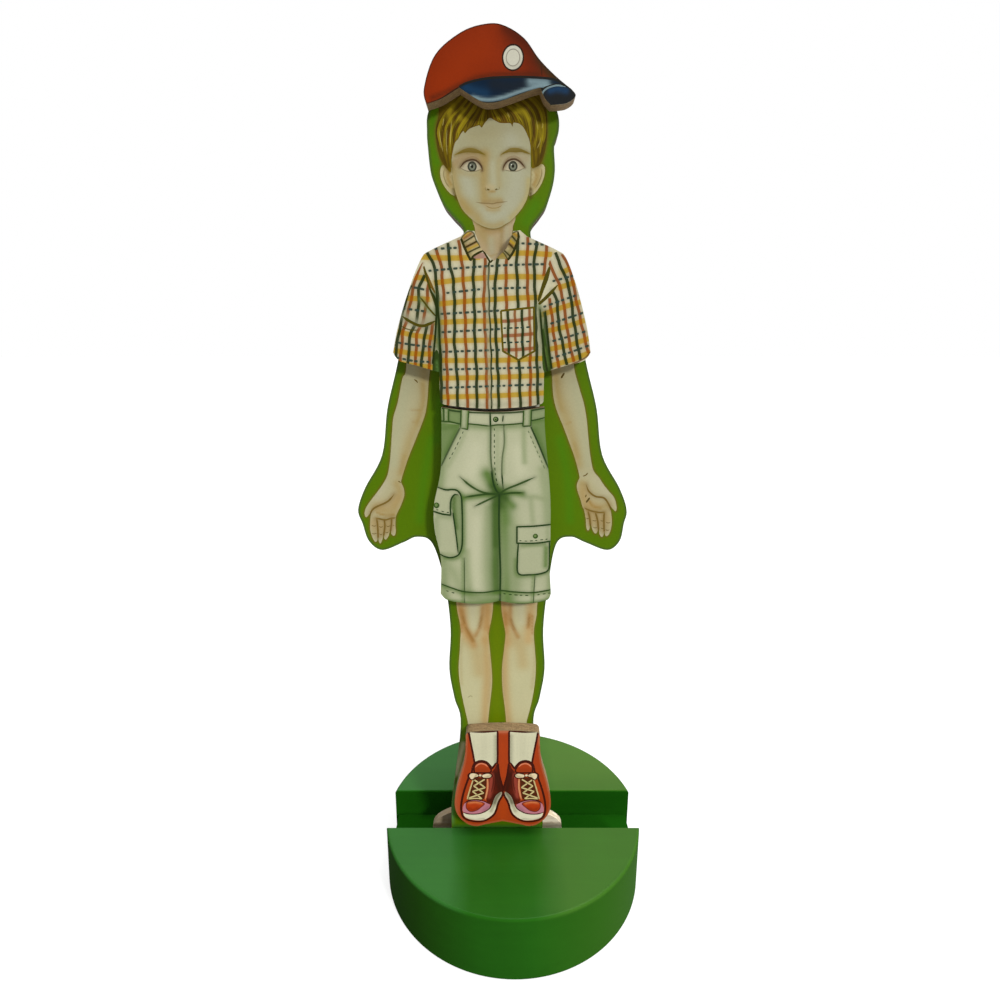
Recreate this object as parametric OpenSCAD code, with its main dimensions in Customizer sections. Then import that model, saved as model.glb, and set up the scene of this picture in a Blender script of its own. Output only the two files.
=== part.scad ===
// Magnetic dress-up doll: a cut-out board figure that stands in the slot of a round wooden base,
// with a cap, a shirt, shorts and shoes that cling to its face by small disc magnets.
// Millimetres, +Z up. The origin is the middle of the base's underside, and the doll faces -Y.
// Heights of the doll and of its clothes are measured up from the foot of its board.

/* [Base] */
// Diameter of the round base
base_d = 80; // [72:1:120]
// Thickness of the base
base_t = 20; // [16:0.5:30]
// Radius that eases the two rims of the base
base_edge_r = 0.8; // [0.4:0.1:2]
// Width of the slot across the base
slot_w = 16; // [13:0.5:22]
// Depth of the slot
slot_depth = 9.5; // [6:0.5:12]
// Chamfer along the slot's two top edges
slot_chamfer = 0.4; // [0.2:0.1:1]
// How far each end of the slot's floor lies inside the rim of the base
floor_inset = 1.7; // [0.5:0.1:3]

/* [Fits] */
// Gap between the doll's foot and the walls and floor of the slot
slot_gap = 0.2; // [0.1:0.05:0.4]
// Gap between the back of a garment and the doll's face
face_gap = 0.2; // [0.1:0.05:0.4]
// Gap between two garments that meet edge to edge
seam_gap = 0.8; // [0.3:0.1:2]
// Gap round a disc in its pocket
pocket_gap = 0.1; // [0.05:0.05:0.3]

/* [Doll] */
// Where the doll stands along the slot, from the middle of the base
doll_x = -6.1; // [-12:0.1:12]
// Thickness of the doll's wooden core
core_t = 5.4; // [4:0.1:8]
// Thickness of each printed or backing sheet
sheet_t = 0.3; // [0.2:0.05:0.5]
// How far the middle of the legs lies to the right of the middle of the arms
leg_shift = 1.2; // [0:0.1:2]
// How far the middle of the neck lies to the right of the middle of the arms
neck_shift = 1.4; // [0:0.1:2]
// How far the middle of the head lies to the right of the middle of the arms
head_shift = 0.4; // [0:0.1:2]
// Width of the board at the foot
foot_w = 28.2; // [24:0.2:34]
// Height at which the foot starts to draw in
foot_h = 17; // [14:0.5:26]
// Width of the board at the ankles
ankle_w = 21.6; // [20:0.2:26]
// Height of the ankles
ankle_h = 44.5; // [38:0.5:52]
// Width of the board at the calves
calf_w = 27.6; // [22:0.2:34]
// Height of the calves
calf_h = 63.5; // [57:0.5:70]
// Width of the board at the knees
knee_w = 26.4; // [22:0.2:32]
// Height of the knees
knee_h = 76; // [73:0.5:84]
// Width of the board at the thighs
thigh_w = 29; // [24:0.2:34]
// Height of the thighs
thigh_h = 90; // [86:0.5:95]
// Width of the board across both hands
hand_w = 72.8; // [68:0.2:82]
// Height at which the hands are widest
hand_h = 111; // [108:0.5:118]
// Distance between the lowest points of the two hands
hand_low_w = 62; // [58:0.5:64]
// Depth of those points below the hands' widest level
hand_drop = 11.5; // [9:0.1:13]
// Distance between the two arches, one under each arm
arch_w = 42; // [40:0.5:46]
// Depth of the arches below the hands' widest level
arch_drop = 7.7; // [5:0.1:9]
// Width of the board across both wrists
wrist_w = 58.4; // [52:0.2:64]
// Height of the wrists above the hands' widest level
wrist_rise = 15; // [12:0.5:18]
// Width of the board across both elbows
elbow_w = 54.6; // [50:0.2:60]
// Height of the elbows above the wrists
elbow_rise = 12; // [8:0.5:16]
// Width of the board at the shoulders
shoulder_w = 40; // [36:0.2:46]
// Height of the shoulders
shoulder_h = 165; // [160:0.5:169]
// Width of the board at the neck
neck_w = 16.4; // [14:0.2:20]
// Height of the neck
neck_h = 181.4; // [180:0.2:185]
// Width of the board at the ears
ear_w = 29.4; // [24:0.2:34]
// Depth of the ears below the widest level of the head
ear_drop = 9.5; // [7:0.5:12]
// Width of the head
head_w = 31; // [28:0.2:38]
// Depth of the dent in the right side of the head, above the ear
head_dent = 0.6; // [0:0.1:1]
// Swell of the left side of the head at the same height
head_swell = 0.3; // [0:0.1:0.6]
// Height at which the head is widest
head_h = 203; // [200:0.5:210]
// Height of the crown above the widest level of the head
crown_rise = 18; // [17:0.5:24]

/* [Foot] */
// Width of the round-topped plate behind the foot
plate_w = 41.6; // [36:0.2:48]
// Height of that plate's straight sides
plate_side_h = 3.5; // [2:0.1:8]
// Height of the plate
plate_h = 11.6; // [10:0.1:18]
// Thickness of the plate
plate_t = 2.5; // [1.5:0.1:4]
// Width of the block that fills the slot behind the plate
block_w = 24; // [16:0.2:27]
// Height of that block
block_h = 10; // [8:0.5:15]
// Radius of the block's two upper corners
block_r = 2; // [0.5:0.1:4]

/* [Garments] */
// Thickness of the wooden core of a garment
garment_t = 3.7; // [3:0.1:6]
// Width of the dome of the cap
cap_w = 30.2; // [28:0.2:38]
// Height of the cap
cap_h = 16.2; // [15:0.2:22]
// Height of the cap's lower edge above the widest level of the head
cap_rise = 3.8; // [1:0.1:5]
// Reach of the brim's tip from the middle of the cap
brim_reach = 19.2; // [18:0.2:26]
// Rise of the cap's lower edge at each end of the brim
brim_arch = 3.7; // [2:0.1:4]
// Width of the shirt across both sleeves
sleeve_w = 49; // [45:0.2:56]
// Height of the sleeves' lower corners above the elbows
sleeve_rise = 12.4; // [10:0.1:16]
// Fall of the sleeves' lower edge from its outer corner to the shirt's body
sleeve_fall = 2.8; // [1.5:0.1:5]
// Width of the shirt across the shoulders
shirt_shoulder_w = 34.8; // [32:0.2:40]
// Height of the shirt's shoulders above those of the board
shirt_shoulder_rise = 9.3; // [8:0.1:11]
// Width of the shirt's body
shirt_w = 26.2; // [24:0.2:32]
// Width of the collar
collar_w = 12.4; // [11:0.2:16]
// How far the middle of the collar lies to the right of the middle of the arms
collar_shift = 0.6; // [0:0.1:2]
// Depth of the collar's points below the neck
collar_drop = 0.8; // [0:0.1:2]
// Depth of the neckline below the collar's points
neckline_drop = 6.9; // [4:0.1:9]
// Height of the waist, where the shirt meets the shorts
waist_h = 139.3; // [132:0.1:143]
// Fall of the waist towards the middle
waist_dip = 1.2; // [0:0.1:2]
// Width of the shorts at the waist
waist_w = 26.2; // [23:0.2:29]
// How far the middle of the shorts lies to the right of the middle of the arms
shorts_x = 0.7; // [-1:0.1:2]
// How far the middle of the shorts' waist lies to the left of the middle of the shorts
waist_shift = 0.4; // [0:0.1:1]
// Width of the shorts at the hem
shorts_hem_w = 30.6; // [28:0.2:36]
// Height of the hem of the shorts
shorts_hem_h = 85.4; // [78:0.1:92]
// Swell of the pocket on the left leg of the shorts
pocket_swell = 0.7; // [0:0.1:2]
// How far the middle of the shoes lies to the right of the middle of the legs
shoes_x = 1.7; // [0:0.1:2]
// Width of the shoes' piece at its top
shoes_top_w = 21.6; // [20:0.2:26]
// Width of the shoes' piece at the toes
shoes_toe_w = 28.8; // [27:0.2:36]
// Height of the top of the shoes' piece above the ankles
shoes_top_rise = 1; // [-2:0.1:6]
// Rise of that top towards its middle
shoes_top_swell = 0.5; // [0:0.1:1]
// Height of the underside of the shoes' piece above the top of the base
shoes_rise = 3.9; // [0.4:0.1:6]
// Rise of that underside between the two shoes
shoes_arch = 1.8; // [0:0.1:3]
// Radius of the rounded corners of the garments
garment_r = 1.5; // [0.5:0.1:2]

/* [Magnets] */
// Diameter of a magnet
magnet_d = 6; // [4:0.5:7]
// Thickness of a magnet
magnet_t = 2; // [1:0.1:2.4]
// Diameter of a steel keeper disc
keeper_d = 8; // [6:0.5:9]
// Thickness of a steel keeper disc
keeper_t = 1; // [0.6:0.1:2]
// Distance between the two magnets of the cap
cap_magnet_gap = 12; // [10:0.5:13]
// Height of those magnets above the widest level of the head
cap_magnet_rise = 11; // [9:0.1:12]
// Distance between the two upper magnets of the shirt
shirt_magnet_gap = 14; // [10:0.5:18]
// Height of the shirt's lowest magnet above the waist
shirt_magnet_rise = 7; // [5:0.1:10]
// Distance between the two magnets of the shorts
shorts_magnet_gap = 13; // [10:0.5:15]
// Depth of those magnets below the waist
shorts_magnet_drop = 14; // [7:0.1:30]
// Distance between the two magnets of the shoes
shoes_magnet_gap = 12; // [10:0.5:13]

/* [Hidden] */
$fn = 48;

// Steps of a curve between two of its points, and of a quarter circle
curve_steps = 6;
arc_steps = 12;
// Overshoot of a cut past the face that it opens
cut = 1;

// Places from front to back: the doll's face lies one gap behind the slot's front wall
face_y = -slot_w / 2 + slot_gap;
core_front_y = face_y + sheet_t;
core_back_y = core_front_y + core_t;
doll_back_y = core_back_y + sheet_t;
plate_back_y = doll_back_y + plate_t;
block_back_y = slot_w / 2 - slot_gap;
garment_back_y = face_y - face_gap;
garment_front_y = garment_back_y - garment_t;

// The foot of the board stands one gap above the slot's floor
foot_z = base_t - slot_depth + slot_gap;

// Levels of the doll and of its garments above the foot of the board
hand_low_h = hand_h - hand_drop;
arch_h = hand_h - arch_drop;
wrist_h = hand_h + wrist_rise;
elbow_h = wrist_h + elbow_rise;
ear_h = head_h - ear_drop;
crown_h = head_h + crown_rise;
cap_low_h = head_h + cap_rise;
sleeve_h = elbow_h + sleeve_rise;
armpit_h = sleeve_h - sleeve_fall;
shirt_shoulder_h = shoulder_h + shirt_shoulder_rise;
collar_h = neck_h - collar_drop;
neckline_h = collar_h - neckline_drop;
base_top_h = slot_depth - slot_gap;
shoes_low_h = base_top_h + shoes_rise;
shoes_top_h = ankle_h + shoes_top_rise;

// Middles of the discs that hold each garment, as points on the doll's face
cap_discs = pair(cap_magnet_gap, head_h + cap_magnet_rise, 0);
shirt_discs = concat(pair(shirt_magnet_gap, shoulder_h, 0), [[0, waist_h + shirt_magnet_rise]]);
shorts_discs = pair(shorts_magnet_gap, waist_h - shorts_magnet_drop, shorts_x);
shoes_discs = pair(shoes_magnet_gap, (shoes_low_h + shoes_top_h) / 2, leg_shift);

function pair(gap, h, x) = [[x - gap / 2, h], [x + gap / 2, h]];

// A smooth stretch through the given points, without its last point
function held(p, i) = p[max(0, min(len(p) - 1, i))];
function blend(a, b, c, d, t) =
  (2 * b + (c - a) * t + (2 * a - 5 * b + 4 * c - d) * t ^ 2 + (3 * b - a - 3 * c + d) * t ^ 3) / 2;
function curve(p) = [
  for (i = [0:len(p) - 2])
    for (k = [0:curve_steps - 1])
      blend(held(p, i - 1), p[i], p[i + 1], held(p, i + 2), k / curve_steps)
];

// An arc about a middle, from one angle to another, ends included
function arc(middle, r, from, to) = [
  for (k = [0:arc_steps])
    middle + r * [cos(from + (to - from) * k / arc_steps), sin(from + (to - from) * k / arc_steps)]
];

function mirrored(p) = [for (i = [len(p) - 1:-1:0]) [-p[i][0], p[i][1]]];
function moved(p, by) = [for (q = p) q + by];
function ramp(from, to, h) = max(0, min(1, (h - from) / (to - from)));

// Sideways place of the doll's middle line at a height
function middle_x(h) =
  leg_shift * ramp(hand_h, thigh_h, h)
  + neck_shift * ramp(shoulder_h, neck_h, h)
  + (head_shift - neck_shift) * ramp(neck_h, ear_h, h);

// Right half of the doll's outline, from the foot to just short of the crown, with a dent above the ear
function doll_half(dent) = concat(
  [[foot_w / 2, 0]],
  curve([
    [foot_w / 2, foot_h],
    [ankle_w / 2, ankle_h],
    [(ankle_w + calf_w) / 4 + 0.2, (ankle_h + calf_h) / 2],
    [calf_w / 2, calf_h],
    [knee_w / 2, knee_h],
    [thigh_w / 2, thigh_h],
    [arch_w / 2 - 4, arch_h - 2],
    [arch_w / 2, arch_h],
    [arch_w / 2 + 4, arch_h - 1.6],
    [hand_low_w / 2, hand_low_h],
    [hand_w / 2 - 2, hand_low_h + 2.6],
    [hand_w / 2 - 0.8, hand_h - 4],
    [hand_w / 2, hand_h],
    [hand_w / 2 - 2.2, hand_h + 6],
    [wrist_w / 2, wrist_h],
    [elbow_w / 2, elbow_h],
    [0.37 * shoulder_w / 2 + 0.63 * elbow_w / 2, 0.37 * shoulder_h + 0.63 * elbow_h],
    [shoulder_w / 2, shoulder_h],
    [shirt_shoulder_w / 2 - 3.4, shirt_shoulder_h - 1.6],
    [neck_w / 2 + 1.4, neck_h - 4],
    [neck_w / 2, neck_h],
    [neck_w / 2 + 2.6, neck_h + 3.4],
    [ear_w / 2 - 2, ear_h - 6],
    [ear_w / 2, ear_h],
    [(ear_w + head_w) / 4 - dent, (ear_h + 2 * head_h) / 3],
    [head_w / 2, head_h],
    [head_w / 2 - 0.4, head_h + 4],
    [head_w / 2 - 3.6, head_h + 10],
    [head_w / 4, crown_h - 2],
    [0, crown_h]
  ])
);

function doll_outline() = [
  for (p = concat(doll_half(head_dent), [[0, crown_h]], mirrored(doll_half(-head_swell))))
    p + [middle_x(p[1]), 0]
];

// Outline of the cap: lower edge, brim, folded tip of the brim and dome
function cap_outline() =
  let (w = cap_w / 2, top = cap_h, reach = brim_reach, rise = brim_arch)
  moved(concat(
    curve([[-0.97 * w, 0.1 * rise], [-0.74 * w, 0.4 * rise], [-0.47 * w, rise]]),
    curve([
      [-0.47 * w, rise],
      [-0.17 * w, 0.3 * rise],
      [0, 0.18 * rise],
      [0.19 * w, 0.32 * rise],
      [0.6 * w, 0.86 * rise],
      [reach - 8, rise]
    ]),
    curve([[reach - 8, rise], [reach - 7, 0.45 * rise], [reach - 5.6, 0.06 * rise]]),
    curve([[reach - 5.6, 0.06 * rise], [reach - 2, 0.16 * rise], [reach, 0.55 * rise], [reach - 1, 0.92 * rise]]),
    curve([
      [reach - 1, 0.92 * rise],
      [0.98 * w, 0.36 * top],
      [0.72 * w, 0.575 * top],
      [0.5 * w, 0.82 * top],
      [0.22 * w, 0.97 * top],
      [-0.04 * w, top],
      [-0.42 * w, 0.905 * top],
      [-0.82 * w, 0.63 * top],
      [-w, 0.22 * top],
      [-0.97 * w, 0.1 * rise]
    ])
  ), [0, cap_low_h]);

// Right half of the shirt's outline, from the hem to the bottom of the neckline
function shirt_half() = concat(
  curve([
    [0, waist_h + seam_gap / 2 - waist_dip],
    [shirt_w / 4, waist_h + seam_gap / 2 - 0.7 * waist_dip],
    [shirt_w / 2 - garment_r / 2, waist_h + seam_gap / 2],
    [shirt_w / 2, waist_h + seam_gap / 2 + garment_r]
  ]),
  curve([[shirt_w / 2, waist_h + seam_gap / 2 + garment_r], [shirt_w / 2, armpit_h]]),
  curve([
    [shirt_w / 2, armpit_h],
    [sleeve_w / 2 - 5.6, sleeve_h - 0.4 * sleeve_fall],
    [sleeve_w / 2 - garment_r, sleeve_h],
    [sleeve_w / 2, sleeve_h + 2]
  ]),
  curve([
    [sleeve_w / 2, sleeve_h + 2],
    [sleeve_w / 2 - 1.2, 0.33 * shirt_shoulder_h + 0.67 * sleeve_h],
    [shirt_shoulder_w / 2 + 3, 0.71 * shirt_shoulder_h + 0.29 * sleeve_h],
    [shirt_shoulder_w / 2, shirt_shoulder_h],
    [shirt_shoulder_w / 2 - 2.4, shirt_shoulder_h + 1.9],
    [collar_w / 2 + 1.8, collar_h - 1.4]
  ]),
  [[collar_w / 2 + 1.8, collar_h - 1.4]],
  [[collar_w / 2, collar_h]],
  [[collar_w / 2 - 1.6, collar_h - 0.2]],
  [[collar_w / 4, (collar_h + neckline_h) / 2 - 0.5]]
);

function shirt_left() = let (m = mirrored(shirt_half())) [for (i = [0:len(m) - 2]) m[i]];
function shirt_outline() = [
  for (p = concat(shirt_half(), [[0, neckline_h]], shirt_left()))
    p + [collar_shift * ramp(sleeve_h, shirt_shoulder_h, p[1]), 0]
];

// Outline of the shorts, with two legs and a pocket that swells on the left
function shorts_outline() =
  let (
    right = waist_w / 2 - waist_shift,
    left = -waist_w / 2 - waist_shift,
    hem = shorts_hem_w / 2,
    low = shorts_hem_h,
    top = waist_h - seam_gap / 2
  )
  moved(concat(
    curve([
      [0.07 * hem, low + 0.9],
      [0.42 * hem, low],
      [0.72 * hem, low + 0.3],
      [0.94 * hem, low + 0.8 * garment_r],
      [hem, low + 2 * garment_r]
    ]),
    curve([
      [hem, low + 2 * garment_r],
      [0.97 * hem, low + 10],
      [0.97 * hem, low + 19],
      [0.95 * hem, low + 31],
      [right + 0.2, top - 6],
      [right, top]
    ]),
    curve([
      [right, top],
      [right / 2, top - 0.7 * waist_dip],
      [0, top - waist_dip],
      [left / 2, top - 0.7 * waist_dip],
      [left, top]
    ]),
    curve([
      [left, top],
      [left - 0.1, top - 6],
      [-0.92 * hem, low + 37],
      [-hem - pocket_swell, low + 28],
      [-hem - pocket_swell, low + 21],
      [-0.95 * hem, low + 13],
      [-0.97 * hem, low + 2 * garment_r]
    ]),
    curve([
      [-0.97 * hem, low + 2 * garment_r],
      [-0.86 * hem, low + 0.8 * garment_r],
      [-0.6 * hem, low + 0.3],
      [-0.36 * hem, low],
      [-0.12 * hem, low + 0.2],
      [0.07 * hem, low + 0.9]
    ])
  ), [shorts_x, 0]);

// Right half of the shoes' outline, from under the arch to just short of the middle of the top
function shoes_half() = concat(
  curve([
    [0, shoes_low_h + shoes_arch],
    [0.17 * shoes_toe_w, shoes_low_h + 0.4 * shoes_arch],
    [0.28 * shoes_toe_w, shoes_low_h],
    [0.38 * shoes_toe_w, shoes_low_h + 1],
    [0.47 * shoes_toe_w, shoes_low_h + 4],
    [shoes_toe_w / 2, shoes_low_h + 8],
    [0.47 * shoes_toe_w, shoes_low_h + 14],
    [shoes_top_w / 2 + 0.6, (shoes_low_h + shoes_top_h) / 2 + 6],
    [shoes_top_w / 2, shoes_top_h - 4],
    [shoes_top_w / 2, shoes_top_h - garment_r]
  ]),
  arc([shoes_top_w / 2 - garment_r, shoes_top_h - garment_r], garment_r, 0, 90),
  [[shoes_top_w / 4, shoes_top_h + 0.6 * shoes_top_swell]]
);

function shoes_left() = let (m = mirrored(shoes_half())) [for (i = [0:len(m) - 2]) m[i]];
function shoes_outline() = moved(
  concat(shoes_half(), [[0, shoes_top_h + shoes_top_swell]], shoes_left()),
  [leg_shift + shoes_x, 0]
);

// Outline of the plate behind the foot: straight sides under half an ellipse
function plate_outline() = moved(concat(
  [[plate_w / 2, 0]],
  [
    for (k = [0:2 * arc_steps])
      let (turn = 90 * k / arc_steps)
      [plate_w / 2 * cos(turn), plate_side_h + (plate_h - plate_side_h) * sin(turn)]
  ],
  [[-plate_w / 2, 0]]
), [leg_shift, 0]);

// Outline of the block that fills the slot, with two rounded upper corners
function block_outline() =
  let (right = concat(
    [[block_w / 2, 0]],
    arc([block_w / 2 - block_r, block_h - block_r], block_r, 0, 90)
  ))
  moved(concat(right, mirrored(right)), [leg_shift, 0]);

// A flat piece of the doll: an outline that stands upright, from its back towards the front
module plate(outline, back_y, t) {
  translate([doll_x, back_y, foot_z])
    rotate([90, 0, 0])
      linear_extrude(t)
        polygon(outline);
}

// Upright discs at points on the doll's face, from their backs towards the front
module discs(points, d, back_y, t) {
  for (p = points)
    translate([doll_x + p[0], back_y, foot_z + p[1]])
      rotate([90, 0, 0])
        cylinder(d = d, h = t);
}

module keepers(points) {
  color("silver")
    discs(points, keeper_d, core_front_y + keeper_t, keeper_t);
}

module magnets(points) {
  color("dimgray")
    discs(points, magnet_d, garment_back_y - pocket_gap, magnet_t);
}

module garment_board(outline, points) {
  color("tan")
    difference() {
      plate(outline, garment_back_y, garment_t);
      discs(points, magnet_d + 2 * pocket_gap, garment_back_y + cut, magnet_t + pocket_gap + cut);
    }
}

module garment_print(outline) {
  plate(outline, garment_front_y, sheet_t);
}

// Round block with eased rims, before the slot is cut
module base_blank() {
  rotate_extrude($fn = 96)
    polygon(concat(
      [[0, 0]],
      arc([base_d / 2 - base_edge_r, base_edge_r], base_edge_r, -90, 0),
      arc([base_d / 2 - base_edge_r, base_t - base_edge_r], base_edge_r, 0, 90),
      [[0, base_t]]
    ));
}

// The slot runs right across, open at both ends, with chamfered top edges and a floor that is set in
module slot_cut() {
  half = slot_w / 2;
  floor_l = base_d - 2 * floor_inset;
  for (side = [-1, 1])
    translate([side * (floor_l + base_d) / 2, 0, (base_t - slot_depth) / 2])
      cube([base_d, slot_w, base_t - slot_depth + 2 * cut], center = true);
  rotate([90, 0, 90])
    linear_extrude(base_d + 2 * cut, center = true)
      polygon([
        [-half, base_t - slot_depth],
        [half, base_t - slot_depth],
        [half, base_t - slot_chamfer],
        [half + slot_chamfer, base_t],
        [half + slot_chamfer, base_t + cut],
        [-half - slot_chamfer, base_t + cut],
        [-half - slot_chamfer, base_t],
        [-half, base_t - slot_chamfer]
      ]);
}

module base() {
  color("forestgreen")
    difference() {
      base_blank();
      slot_cut();
    }
}

module foot_plate() {
  color("wheat")
    plate(plate_outline(), plate_back_y, plate_t);
}

module foot_block() {
  color("burlywood")
    plate(block_outline(), block_back_y, block_back_y - plate_back_y);
}

module figure_board() {
  color("burlywood")
    difference() {
      plate(doll_outline(), core_back_y, core_t);
      for (points = [cap_discs, shirt_discs, shorts_discs, shoes_discs])
        discs(points, keeper_d + 2 * pocket_gap, core_front_y + keeper_t, keeper_t + cut);
    }
}

module figure_print() {
  color("olivedrab")
    plate(doll_outline(), core_front_y, sheet_t);
}

module figure_back_sheet() {
  color("darkolivegreen")
    plate(doll_outline(), doll_back_y, sheet_t);
}

module head_keepers() {
  keepers(cap_discs);
}

module chest_keepers() {
  keepers(shirt_discs);
}

module hip_keepers() {
  keepers(shorts_discs);
}

module foot_keepers() {
  keepers(shoes_discs);
}

module cap_board() {
  garment_board(cap_outline(), cap_discs);
}

module cap_print() {
  color("orangered")
    garment_print(cap_outline());
}

module cap_magnets() {
  magnets(cap_discs);
}

module shirt_board() {
  garment_board(shirt_outline(), shirt_discs);
}

module shirt_print() {
  color("ivory")
    garment_print(shirt_outline());
}

module shirt_magnets() {
  magnets(shirt_discs);
}

module shorts_board() {
  garment_board(shorts_outline(), shorts_discs);
}

module shorts_print() {
  color("darkseagreen")
    garment_print(shorts_outline());
}

module shorts_magnets() {
  magnets(shorts_discs);
}

module shoes_board() {
  garment_board(shoes_outline(), shoes_discs);
}

module shoes_print() {
  color("tomato")
    garment_print(shoes_outline());
}

module shoes_magnets() {
  magnets(shoes_discs);
}

base();
foot_plate();
foot_block();
figure_board();
figure_print();
figure_back_sheet();
head_keepers();
chest_keepers();
hip_keepers();
foot_keepers();
cap_board();
cap_print();
cap_magnets();
shirt_board();
shirt_print();
shirt_magnets();
shorts_board();
shorts_print();
shorts_magnets();
shoes_board();
shoes_print();
shoes_magnets();
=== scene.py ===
"""A wooden dress-up doll with printed sheets, magnetic clothes and a lacquered base.

The sheets are drawn here as flat inks: every ink has a clean edge, soft shading lies inside it,
and all inks of a sheet end up in one closed plate. Drawing sizes are millimetres on the sheet,
x to the right and z up, in the same frame as the solids. Meshes are in metres.
Places on a drawing are spots read off the picture of the doll, and the camera stands where
that picture was taken from, so its own numbers put each spot on its sheet.
In the drawing s is the sheet and i are the inks. In the finishes f is the material under
construction and c are its colours.
"""

import bmesh
import bpy
import numpy as np
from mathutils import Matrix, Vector
from mathutils.geometry import delaunay_2d_cdt


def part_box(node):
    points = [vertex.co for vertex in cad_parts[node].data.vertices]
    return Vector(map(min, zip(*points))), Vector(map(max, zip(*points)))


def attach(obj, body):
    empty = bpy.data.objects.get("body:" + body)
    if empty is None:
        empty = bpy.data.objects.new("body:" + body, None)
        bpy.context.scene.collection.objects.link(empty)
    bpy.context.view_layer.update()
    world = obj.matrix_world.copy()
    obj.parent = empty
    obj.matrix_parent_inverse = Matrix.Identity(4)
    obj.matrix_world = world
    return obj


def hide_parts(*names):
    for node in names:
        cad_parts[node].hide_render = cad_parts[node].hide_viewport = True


bl_info = {
    "name": "Magnetic dress-up doll",
    "version": (1, 0, 0),
    "blender": (4, 5, 0),
    "location": "View3D > Sidebar > Doll",
    "description": "Printed sheets, wood, steel and lacquer of a dress-up doll with magnetic clothes",
    "category": "Object",
}

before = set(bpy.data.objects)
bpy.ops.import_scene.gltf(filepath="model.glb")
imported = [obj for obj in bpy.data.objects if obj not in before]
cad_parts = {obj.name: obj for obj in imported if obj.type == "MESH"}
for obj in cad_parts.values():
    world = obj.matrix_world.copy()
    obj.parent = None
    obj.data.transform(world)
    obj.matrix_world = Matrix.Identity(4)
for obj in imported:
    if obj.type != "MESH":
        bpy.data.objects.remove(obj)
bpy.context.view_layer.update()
MM = 0.001

# Where the picture was taken from: its side in pixels, the lens and sensor in millimetres,
# the place of the camera in metres and its tilt up from looking straight down.
PICTURE = 1000
LENS = 21.895
SENSOR = 36.0
EYE = (-0.00402, -0.16736, 0.16332)
TILT = np.radians(76.289)
NEAREST = 0.005
FARTHEST = 50.0

# The light: how strong each sun is, where it stands and how many degrees wide it looks.
KEY_SUN = 2.02
KEY_FROM = (0.485, -0.747, 0.454)
KEY_SPREAD = 9
CEILING_SUN = 2.4
CEILING_FROM = (0.24, -0.22, 0.945)
CEILING_SPREAD = 60

# The surroundings: what the sky and the floor give to the doll, and what the camera sees of them.
SKY_LIGHT = 0.28
SKY_SEEN = 0.72
FLOOR_RADIUS = 20.0
FLOOR_GREY = (0.42, 0.42, 0.415, 1.0)
FLOOR_DARK = (0.0, 0.0, 0.0)
FLOOR_SEEN = (0.72, 0.72, 0.72)

# The drawing: points nearer than this many millimetres are one, and finer still on a cut edge.
TOUCH = 1e-4
FINE_TOUCH = 1e-6
# Keeps a division away from zero.
TINY = 1e-12
# A level face of a solid keeps to this many metres.
LEVEL = 1e-6
# A line thins over a fifth of its length at both ends.
TAPER = 5
# Corners of a round spot.
ROUND = 28
# Rows of the shading net lie this share of a cell apart.
ROW = 0.87
# A soft stroke fades at this rate, and ends at this many radii.
FADE = 1.4
REACH = 2.5
# Points of a stroke that are measured at one time.
BATCH = 40
# A pencil line: radius of its soft sides against its width, and their strength against its own.
PENCIL_SIDES = 1.1
PENCIL_SOFT = 0.4


def linear(red, green, blue):
    """Scene-linear colour of a colour as it looks on a screen."""
    return tuple(c / 12.92 if c <= 0.04045 else ((c + 0.055) / 1.055) ** 2.4 for c in (red, green, blue))


def colour(name, what, *screen):
    """A colour property with its default."""
    return bpy.props.FloatVectorProperty(
        name=name, description=what, subtype="COLOR", size=3, min=0.0, max=1.0, default=linear(*screen)
    )


def length(name, what, default):
    """A length property in metres."""
    return bpy.props.FloatProperty(name=name, description=what, default=default, unit="LENGTH", precision=5)


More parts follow.
